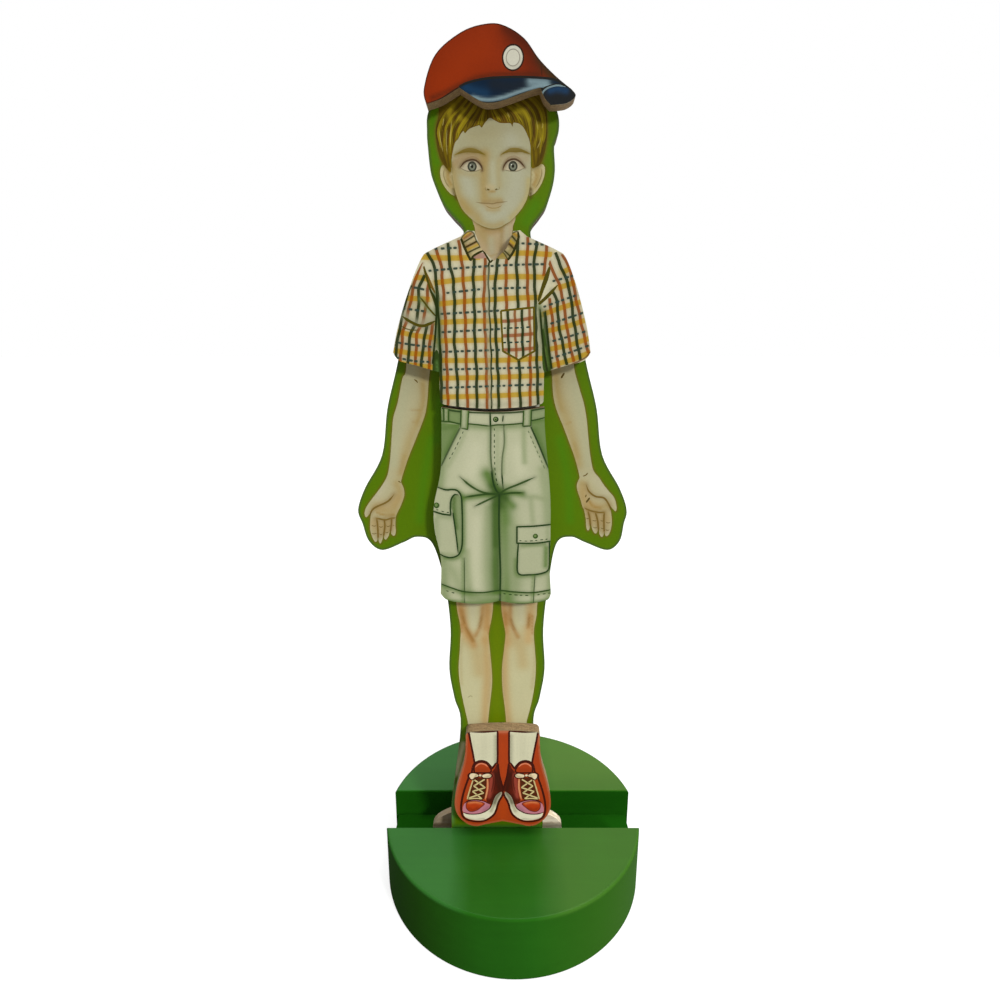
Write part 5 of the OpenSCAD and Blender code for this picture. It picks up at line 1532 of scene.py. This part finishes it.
def draw_sock(s, i, ink, dim):
    """Sock with soft ribs."""
    sock = s.at(469.8,732.3, 469.8,732.3, 483,732.9, 496.6,731.9, 496.6,731.9, 496.6,745, 496.6,758,
        495.8,764, 492.2,769, 492.2,769, 489.6,764.5, 485.2,762, 480.8,761.2, 475.7,763.1, 475.7,763.1,
        473.5,751.3, 471.3,740.3)
    s.line(round_trip(sock), 1.2, ink, (1, 1))
    s.fill(sock, i.sock, "sock")
    s.shades("sock",
        sock_inner=(0.7, dim, 0.9, (496,736, 496,762)),
        sock_light=(1.6, between(i.sock, dim, 0.25), 0.7, (484,738, 484,756)))
    ribs = s.at(473,736, 494,736, 476,758, 493,758)
    for k in range(6):
        run = [between(ribs[0], ribs[1], k / 5), between(ribs[2], ribs[3], k / 5)]
        s.soft(run, 0.22, between(i.sock, dim, 0.5), 0.3, "sock")


def draw_upper(s, i, ink):
    """Shoe with its shaded inner side and its tongue."""
    whole = s.at(473.8,767.5, 475.7,763.8, 480.8,761.8, 485.9,763, 489.6,766.7, 492,769.4,
        494.6,767, 496.8,763.6, 496.8,763.6, 498.2,775, 500.6,784, 502.8,791.8, 502.8,791.8, 500.6,796.6,
        498.4,800.4, 496.4,805.4, 495.4,809.4, 493,814.2, 488,818.2, 482,820.4, 475,820.6, 468,819,
        464.2,816.4, 462.6,812, 462.2,806, 463.6,797, 466.4,787, 469.4,778.6, 469.6,775, 472.6,773)
    s.line(round_trip(whole), 1.25, ink, (1, 1))
    s.fill(whole, i.shoe, "shoe")
    inner = s.at(490.6,774, 494.6,768.6, 496.8,765, 498.2,775, 500.6,784, 502.4,791, 498,792.8,
        495,796, 493,800.4, 491.4,804, 488.8,803, 486.4,800.6, 487.4,796, 488.6,787, 488.8,779)
    s.fill(inner, i.shoe_dark, "inner")
    s.shades("inner",
        inner_glow=(0.8, between(i.shoe, i.pink, 0.15), 0.75, (491.6,775, 490.6,786, 489.4,797)),
        inner_dark=(1.0, between(ink, i.black, 0.4), 0.8, (496.6,774, 498.4,783, 499.6,790)),
        inner_low=(0.6, ink, 0.8, (491,800, 494,795)))
    s.lines(
        inner_lines=(0.26, ink, (0.3, 0.2), 0.7, (492.4,774, 493.4,782, 491,793), (495,772, 495.6,782,
            494,791)))
    tongue = s.at(474.4,772.8, 474,767.5, 475.8,763.9, 480.8,762, 485.9,763.1, 489.5,766.7,
        490.2,772.4)
    s.fill(tongue, i.shoe, "tongue")
    salmon = linear(0.84, 0.50, 0.36)
    s.shades("tongue",
        tongue_shade=(1.0, between(i.shoe, i.shoe_dark, 0.35), 0.7, (478,770.4, 486,770.4)))
    s.lines(
        tongue_edge=(0.42, salmon, (0.2, 0.2), 0.9, (475.2,767.4, 477.6,764.8, 481,763.6, 485.2,764.6,
            488,767.2)))
    s.line(round_trip(tongue), 0.5, ink, (1, 1))


def draw_laces(s, i, ink):
    """Laces crossed over a dark panel, with their bow."""
    panel = s.at(473.8,779, 480,777.6, 486.2,778.4, 486,788, 483.8,799, 476,799.6, 467.2,799.4,
        470,789.6)
    panel_brown = linear(0.36, 0.17, 0.07)
    s.fill(panel, between(ink, panel_brown, 0.5), "panel")
    tan_edge = linear(0.82, 0.55, 0.38)
    lace = linear(0.80, 0.73, 0.51)
    s.lines(
        panel_edge=(0.5, tan_edge, (0.5, 0.3), 0.9, (487.4,778.6, 487.6,788, 485.2,799.6)),
        lace_side=(0.4, lace, (0.6, 0.6), 0.85, (473.4,779, 470.4,788, 467.2,799.2)))
    eyelets = s.at(474.6,780, 473.8,786, 472.6,791.4, 469,798)
    across = s.at(484.6,779.4, 485.2,787.6, 483.6,793, 481.6,798.6)
    for k in range(3):
        for run in ([eyelets[k], across[k + 1]], [across[k], eyelets[k + 1]]):
            s.line(run, 0.66, between(ink, i.black, 0.3), (1, 1))
            s.line(run, 0.44, lace, (1, 1))
    s.lines(lace_low=(0.4, lace, (0.6, 0.6), 1.0, (468.4,799, 475,798.4, 482,798.8)))
    bow_loops = s.runs((469.6,775, 472,773.4, 477.2,774.2, 478.2,776.3, 474.6,777.4, 472,779.4,
        470,777.6), (482.6,775, 488.1,773.8, 491.4,775.2, 489.8,777.4, 485.2,777.8, 482.4,776.8))
    cream = linear(0.88, 0.80, 0.66)
    for loop in bow_loops:
        s.line(round_trip(loop), 0.75, ink, (1, 1))
        s.fill(loop, cream, "bow")
        s.soft([loop[2], loop[4]], 0.35, between(lace, ink, 0.45), 0.7, "bow")
    knot_rim = s.at(480.2,775.6)[0]
    s.dot(knot_rim, 1.15, 1.05, ink)
    knot = s.at(480.2,775.4)[0]
    s.dot(knot, 0.8, 0.75, cream)


def draw_toe(s, i, ink):
    """Pink toe with a red cap."""
    toe = s.at(463.4,812, 462.8,808, 464.6,803.6, 468.4,801, 476,800.2, 484,801.4, 489.4,804,
        490,806.5, 488,809.5, 483,812.5, 477,813.7, 469,813.7)
    s.fill(toe, i.pink, "toe")
    plum = linear(0.45, 0.28, 0.36)
    s.shades("toe", toe_shade=(0.7, between(i.pink, plum, 0.6), 0.7, (484,811, 488.6,807)))
    s.lines(
        toe_line=(0.36, ink, (0.5, 0.5), 1.0, (464.4,803.4, 468.4,800.8, 476,799.9, 484,801.2,
            490,804.2)))
    cap = s.at(466.2,804.2, 468,802, 475,801.1, 482,802.4, 484.4,804, 481,807.2, 477,810.2,
        472,811.6, 468.5,810.6, 466.4,807.6)
    toe_red = linear(0.74, 0.22, 0.06)
    s.fill(cap, between(i.shoe, toe_red, 0.5), "cap")
    peach = linear(0.85, 0.50, 0.30)
    s.shades("cap",
        cap_light=(0.5, peach, 0.85, (469,802.6, 475,802, 481,803)),
        cap_shade=(0.5, i.shoe_dark, 0.5, (469,808.6, 473,810, 478,808)))
    s.line(round_trip(cap), 0.32, between(ink, i.shoe, 0.25), (1, 1), 0.85)


def draw_sole(s, ink, dim):
    """White sole, seen along the toe and the inner side."""
    sole = s.at(463.3,813, 463.5,812.6, 469,814, 477,814, 483,812.5, 489,809, 491.5,805, 493,800.5,
        495,796, 498,793, 500.6,791.6, 502,793, 501,796, 498.5,800, 496.5,805, 495.5,809, 493,814,
        488,818, 482,820.2, 475,820.2, 468,818.7, 464.5,816.2)
    sole_white = linear(0.88, 0.85, 0.74)
    s.fill(sole, sole_white, "sole")
    sole_brown = linear(0.40, 0.38, 0.29)
    grey_tan = linear(0.62, 0.59, 0.47)
    s.shades("sole",
        sole_dark=(1.1, sole_brown, 0.95, (500,793, 496.4,798, 494.4,803)),
        sole_grey=(0.7, grey_tan, 0.8, (493.4,806, 491,811)),
        sole_edge=(0.35, dim, 0.7, (467,818.2, 475,819.8, 484,818.8)))
    s.lines(
        sole_line=(0.36, ink, (0.6, 0.6), 1.0, (463.2,812.4, 469,814, 477,814, 483,812.5, 489,809,
            491.5,805, 493,800.5, 495,796, 498,793, 500.6,791.6)))


def sheet_piece(context, node, piece, body, ground, draw):
    """Draws a sheet, makes its plate and puts it in place of the plain CAD sheet."""
    scene = context.scene
    sheet = Sheet(node, ground, scene.doll_sizes)
    draw(sheet, scene.doll_inks)
    plate = sheet.plate(piece, scene.doll_inks.card)
    plate.data.materials.append(print_finish(piece, scene.doll_finishes.gloss))
    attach(plate, body)
    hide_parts(node)


def draw_figure(s, i):
    """The doll in its underwear, on a green ground that is a little brighter in places."""
    fresh = linear(0.25, 0.475, 0.03)
    leg_green = linear(0.39, 0.465, 0.0)
    rim_olive = linear(0.25, 0.32, 0.15)
    s.shades(
        fresh_edges=(1.6, fresh, 0.5, (443,205, 458,226, 462,236), (536,205, 526,222), (434,120,
            438,160), (431,440, 424,480, 420,520), (440,400, 438,440), (560,440, 568,480, 570,520)),
        between_legs=(2.6, leg_green, 0.8, (497,612, 497,660, 497,720)))
    # Painted shade: a dark olive rim round the whole outline, for the board's edge seen in shadow.
    for width in (1.3, 0.8):
        s.line(round_trip(s.rim), width, rim_olive, (1, 1), 0.4)
    draw_arms(s, i)
    draw_hands(s, i)
    draw_legs(s, i)
    draw_feet(s, i)
    draw_underwear(s, i)
    draw_neck(s, i)
    draw_ears(s, i)
    draw_face(s, i)
    draw_nose_and_mouth(s, i)
    draw_eyes(s, i)
    draw_hair(s, i)


class DOLL_OT_stage(bpy.types.Operator):
    """Camera, pale floor and soft studio light"""

    bl_idname = "doll.stage"
    bl_label = "Stage"

    def execute(self, context):
        scene = context.scene
        scene.view_settings.view_transform = "Standard"
        lens = bpy.data.cameras.new("camera")
        lens.lens, lens.sensor_width = LENS, SENSOR
        lens.clip_start, lens.clip_end = NEAREST, FARTHEST
        camera = bpy.data.objects.new("camera", lens)
        camera.location = EYE
        camera.rotation_euler = (TILT, 0.0, 0.0)
        scene.collection.objects.link(camera)
        scene.camera = camera
        self.floor(scene)
        self.lamp(scene, "key", KEY_SUN, KEY_FROM, KEY_SPREAD)
        self.lamp(scene, "ceiling", CEILING_SUN, CEILING_FROM, CEILING_SPREAD)
        world = bpy.data.worlds.new("studio")
        scene.world = world
        world.use_nodes = True
        sky = Nodes(world.node_tree, "Background")
        sky.surface(Color=(1.0, 1.0, 1.0, 1.0), Strength=SKY_LIGHT + sky.seen() * SKY_SEEN)
        return {"FINISHED"}

    def floor(self, scene):
        """Pale floor that throws less light back than the camera sees."""
        mesh = bpy.data.meshes.new("floor")
        b = bmesh.new()
        bmesh.ops.create_circle(b, cap_ends=True, radius=FLOOR_RADIUS, segments=96)
        b.to_mesh(mesh)
        b.free()
        floor = bpy.data.objects.new("floor", mesh)
        scene.collection.objects.link(floor)
        f = Finish("pale_floor")
        f.surface(
            Base_Color=FLOOR_GREY,
            Roughness=0.9,
            Specular_IOR_Level=0.0,
            Emission_Strength=1.0,
            Emission_Color=f.mix(f.seen(), FLOOR_DARK, FLOOR_SEEN),
        )
        mesh.materials.append(f.material)

    def lamp(self, scene, name, strength, towards, spread):
        """A sun that stands in a given direction."""
        light = bpy.data.lights.new(name, "SUN")
        light.energy, light.angle = strength, np.radians(spread)
        lamp = bpy.data.objects.new(name, light)
        lamp.rotation_euler = Vector(towards).to_track_quat("Z", "Y").to_euler()
        scene.collection.objects.link(lamp)


class DOLL_OT_base(bpy.types.Operator):
    """Satin green lacquer on the round base"""

    bl_idname = "doll.base"
    bl_label = "Base"

    def execute(self, context):
        c = context.scene.doll_finishes
        f = Finish("base_lacquer")
        cloud = f.clamp(f.noise(35, detail=4.0), low=0.3, high=0.7)
        fine = f.noise(1400, detail=2.0)
        grain = f.clamp(f.noise((30, 420, 420), detail=4.0), low=0.35, high=0.75)
        x, y, high, rim, slot = self.places(f)
        wall = (1.0 - high) * (1.0 - slot)
        left = f.clamp(0.0 - x, low=0.010, high=0.028)
        right = f.clamp(x, low=0.004, high=0.030)
        deep = [v * 0.72 for v in c.lacquer]
        body = f.mix(cloud * 0.55 + grain * 0.25, deep, c.lacquer)
        # Painted light on the right of the wall, painted shade on its left and inside the slot.
        body = f.mix(wall * right * 0.8, body, c.lacquer_warm)
        body = f.mix(wall * left * 0.5, body, c.lacquer_dim)
        body = f.mix(slot * 0.5, body, c.lacquer_slot)
        sheen = high * (1.0 - slot) * self.sheen(f, x, y)
        body = f.mix(sheen, body, self.sheen_colour(f, c, x), "ADD")
        worn = rim * f.clamp(f.noise(60), low=0.35, high=0.7)
        level = f.node("SeparateXYZ", output=2, Vector=f.node("NewGeometry", output="Normal"))
        flat = f.clamp(level, low=0.85, high=0.99)
        f.surface(
            Base_Color=f.mix(worn * 0.12, body, c.lacquer_worn),
            Roughness=0.30 + cloud * 0.08 + fine * 0.10,
            Specular_IOR_Level=0.0,
            Coat_Weight=wall * (0.02 + right * 0.04) + high * 0.30 * flat,
            Coat_Roughness=0.3,
        )
        f.relief(f.noise(900) + grain * 0.25, strength=0.10, depth=0.0003)
        dress("base", f.material)
        return {"FINISHED"}

    def sheen(self, f, x, y):
        """Sheen of the top, to the left and right of the doll and behind it."""
        beside = f.clamp(0.0 - x, low=0.012, high=0.0185) + f.clamp(x, low=0.005, high=0.015)
        behind = f.clamp(y, low=0.0, high=0.02)
        return beside * 0.5 + behind * 0.5

    def sheen_colour(self, f, c, x):
        """Cool on the left and warm on the right."""
        return f.mix(f.clamp(x, low=-0.01, high=0.01), c.sheen_cool, c.sheen_warm)

    def places(self, f):
        """Where a spot lies: across, front to back, on the top, at an edge of it and inside the slot."""
        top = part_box("base")[1]
        lip = -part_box("figure_print")[0].y
        here = f.node("TexCoord", output="Object")
        x, y, z = (f.node("SeparateXYZ", output=k, Vector=here) for k in range(3))
        out = f.node("Math", {"operation": "POWER"}, s0=x * x + y * y, s1=0.5)
        side = f.node("Math", {"operation": "ABSOLUTE"}, s0=y)
        off = f.node("Math", {"operation": "ABSOLUTE"}, s0=side - (lip + 0.0002))
        high = f.clamp(z, low=top.z - 0.0012, high=top.z - 0.0002)
        rim = f.clamp(out, low=top.x - 0.0008, high=top.x - 0.0003)
        edge = 1.0 - f.clamp(off, low=0.0, high=0.0006)
        inner = 1.0 - f.clamp(side, low=lip + 0.0003, high=lip + 0.0006)
        either = f.node("Math", {"operation": "MAXIMUM"}, s0=rim, s1=edge)
        return x, y, high, high * either, inner


class DOLL_OT_foot(bpy.types.Operator):
    """Bare pale wood of the foot plate and block"""

    bl_idname = "doll.foot"
    bl_label = "Foot plate and block"

    def execute(self, context):
        c = context.scene.doll_finishes
        f = Finish("bare_wood")
        streak = f.clamp(f.noise((45, 900, 900), detail=5.0, rough=0.6), low=0.35, high=0.7)
        pores = f.clamp(f.noise((260, 5200, 5200), detail=2.0), low=0.58, high=0.68)
        pore_tone = [v * 0.6 for v in c.beech_dark]
        x = f.node("SeparateXYZ", output=0, Vector=f.node("TexCoord", output="Object"))
        # Painted shade: the wood darkens towards the left, the side away from the lamp.
        left = f.clamp(0.0 - x, low=0.0, high=0.012)
        tone = f.mix(streak * 0.75, c.beech, c.beech_dark)
        tone = f.mix(left * 0.75, tone, c.beech_dim)
        f.surface(Base_Color=f.mix(pores * 0.5, tone, pore_tone), Roughness=0.62 + streak * 0.12)
        f.relief(streak + pores * 0.6, strength=0.25, depth=0.0002)
        dress("foot_plate", f.material)
        dress("foot_block", f.material)
        return {"FINISHED"}


class DOLL_OT_boards(bpy.types.Operator):
    """Fibreboard cores of the clothes and the painted core of the figure"""

    bl_idname = "doll.boards"
    bl_label = "Boards"

    def execute(self, context):
        c = context.scene.doll_finishes
        board = self.fibreboard(c)
        for node in ("cap_board", "shirt_board", "shorts_board", "shoes_board"):
            dress(node, board)
        dress("figure_board", self.singed_edge(c))
        return {"FINISHED"}

    def fibreboard(self, c):
        """Cut fibreboard with pale flecks."""
        f = Finish("board_edge")
        layers = f.clamp(f.noise((500, 3200, 500), detail=4.0, rough=0.6), low=0.32, high=0.68)
        flecks = f.clamp(f.noise(2400), low=0.5, high=0.72)
        fleck_tone = [min(1.0, v * 1.7) for v in c.fibre]
        tone = f.mix(layers, c.fibre_dark, c.fibre)
        f.surface(Base_Color=f.mix(flecks * 0.5, tone, fleck_tone), Roughness=0.78 + layers * 0.12)
        f.relief(layers + flecks * 0.5, strength=0.35, depth=0.0002)
        return f.material

    def singed_edge(self, c):
        """Dark edge of the figure, with bare spots."""
        f = Finish("figure_edge")
        layers = f.clamp(f.noise((400, 2600, 400), detail=4.0, rough=0.6), low=0.35, high=0.7)
        bare = f.clamp(f.noise(160, detail=4.0), low=0.6, high=0.72)
        tone = f.mix(layers, [v * 0.6 for v in c.figure_edge], c.figure_edge)
        f.surface(
            Base_Color=f.mix(bare * 0.35, tone, c.fibre_dark),
            Roughness=0.6 + layers * 0.15,
            Specular_IOR_Level=0.1,
        )
        f.relief(layers, strength=0.25, depth=0.0002)
        return f.material


class DOLL_OT_back(bpy.types.Operator):
    """Plain green sheet on the back of the figure"""

    bl_idname = "doll.back"
    bl_label = "Back sheet"

    def execute(self, context):
        green = context.scene.doll_inks.leaf
        f = Finish("back_sheet")
        fleck = f.clamp(f.noise(2600, detail=2.0), low=0.3, high=0.7)
        cloud = f.clamp(f.noise(60, detail=5.0), low=0.25, high=0.75)
        tone = f.mix(cloud * 0.5 + fleck * 0.3, [v * 0.82 for v in green], green)
        f.surface(Base_Color=tone, Roughness=0.44 + cloud * 0.1, Specular_IOR_Level=0.15)
        f.relief(f.noise(700), strength=0.12, depth=0.0002)
        dress("figure_back_sheet", f.material)
        return {"FINISHED"}


class DOLL_OT_metal(bpy.types.Operator):
    """Steel keepers in the figure and magnets in the clothes"""

    bl_idname = "doll.metal"
    bl_label = "Keepers and magnets"

    def execute(self, context):
        c = context.scene.doll_finishes
        steel, ferrite = self.brushed_steel(c.steel), self.dark_ferrite(c.ferrite)
        for node in ("head_keepers", "chest_keepers", "hip_keepers", "foot_keepers"):
            dress(node, steel)
        for node in ("cap_magnets", "shirt_magnets", "shorts_magnets", "shoes_magnets"):
            dress(node, ferrite)
        return {"FINISHED"}

    def brushed_steel(self, steel):
        """Steel with fine brush marks."""
        f = Finish("keeper_steel")
        brushed = f.clamp(f.noise((300, 4000, 4000)), low=0.3, high=0.7)
        tone = f.mix(brushed, [v * 0.8 for v in steel], steel)
        f.surface(Base_Color=tone, Metallic=1.0, Roughness=0.28 + brushed * 0.15)
        return f.material

    def dark_ferrite(self, ferrite):
        """Dull dark magnets with fine specks."""
        f = Finish("magnet_ferrite")
        speck = f.clamp(f.noise(3200), low=0.35, high=0.7)
        f.surface(Base_Color=f.mix(speck, [v * 0.6 for v in ferrite], ferrite), Roughness=0.5 + speck * 0.2)
        f.relief(speck, strength=0.2, depth=0.0001)
        return f.material


class DOLL_OT_figure(bpy.types.Operator):
    """Printed front of the figure"""

    bl_idname = "doll.figure"
    bl_label = "Figure print"

    def execute(self, context):
        green = context.scene.doll_inks.leaf
        sheet_piece(context, "figure_print", "figure_art", "figure", green, draw_figure)
        return {"FINISHED"}


class DOLL_OT_clothes(bpy.types.Operator):
    """Printed fronts of the cap, shirt, shorts and shoes"""

    bl_idname = "doll.clothes"
    bl_label = "Clothes prints"

    def execute(self, context):
        i = context.scene.doll_inks
        sheet_piece(context, "cap_print", "cap_art", "cap", i.cap_red, draw_cap)
        sheet_piece(context, "shirt_print", "shirt_art", "shirt", i.cloth, draw_shirt)
        sheet_piece(context, "shorts_print", "shorts_art", "shorts", i.sage, draw_shorts)
        sheet_piece(context, "shoes_print", "shoes_art", "shoes", i.shoe, draw_shoes)
        return {"FINISHED"}


OPERATORS = (
    DOLL_OT_stage,
    DOLL_OT_base,
    DOLL_OT_foot,
    DOLL_OT_boards,
    DOLL_OT_back,
    DOLL_OT_metal,
    DOLL_OT_figure,
    DOLL_OT_clothes,
)
GROUPS = {"doll_inks": DollInks, "doll_finishes": DollFinishes, "doll_sizes": DollSizes}


class DOLL_PT_panel(bpy.types.Panel):
    """Lists the doll's pieces and its colours"""

    bl_idname = "DOLL_PT_panel"
    bl_label = "Dress-up doll"
    bl_space_type = "VIEW_3D"
    bl_region_type = "UI"
    bl_category = "Doll"

    def draw(self, context):
        for operator in OPERATORS:
            self.layout.operator(operator.bl_idname)
        for group in GROUPS:
            for key in GROUPS[group].__annotations__:
                self.layout.prop(getattr(context.scene, group), key)


def register():
    for group, made in GROUPS.items():
        bpy.utils.register_class(made)
        setattr(bpy.types.Scene, group, bpy.props.PointerProperty(type=made))
    for made in (*OPERATORS, DOLL_PT_panel):
        bpy.utils.register_class(made)


def unregister():
    for made in reversed((*OPERATORS, DOLL_PT_panel)):
        bpy.utils.unregister_class(made)
    for group, made in GROUPS.items():
        delattr(bpy.types.Scene, group)
        bpy.utils.unregister_class(made)


def main():
    register()
    bpy.ops.doll.stage()
    bpy.ops.doll.base()
    bpy.ops.doll.foot()
    bpy.ops.doll.boards()
    bpy.ops.doll.back()
    bpy.ops.doll.metal()
    bpy.ops.doll.figure()
    bpy.ops.doll.clothes()


if __name__ == "__main__":
    main()
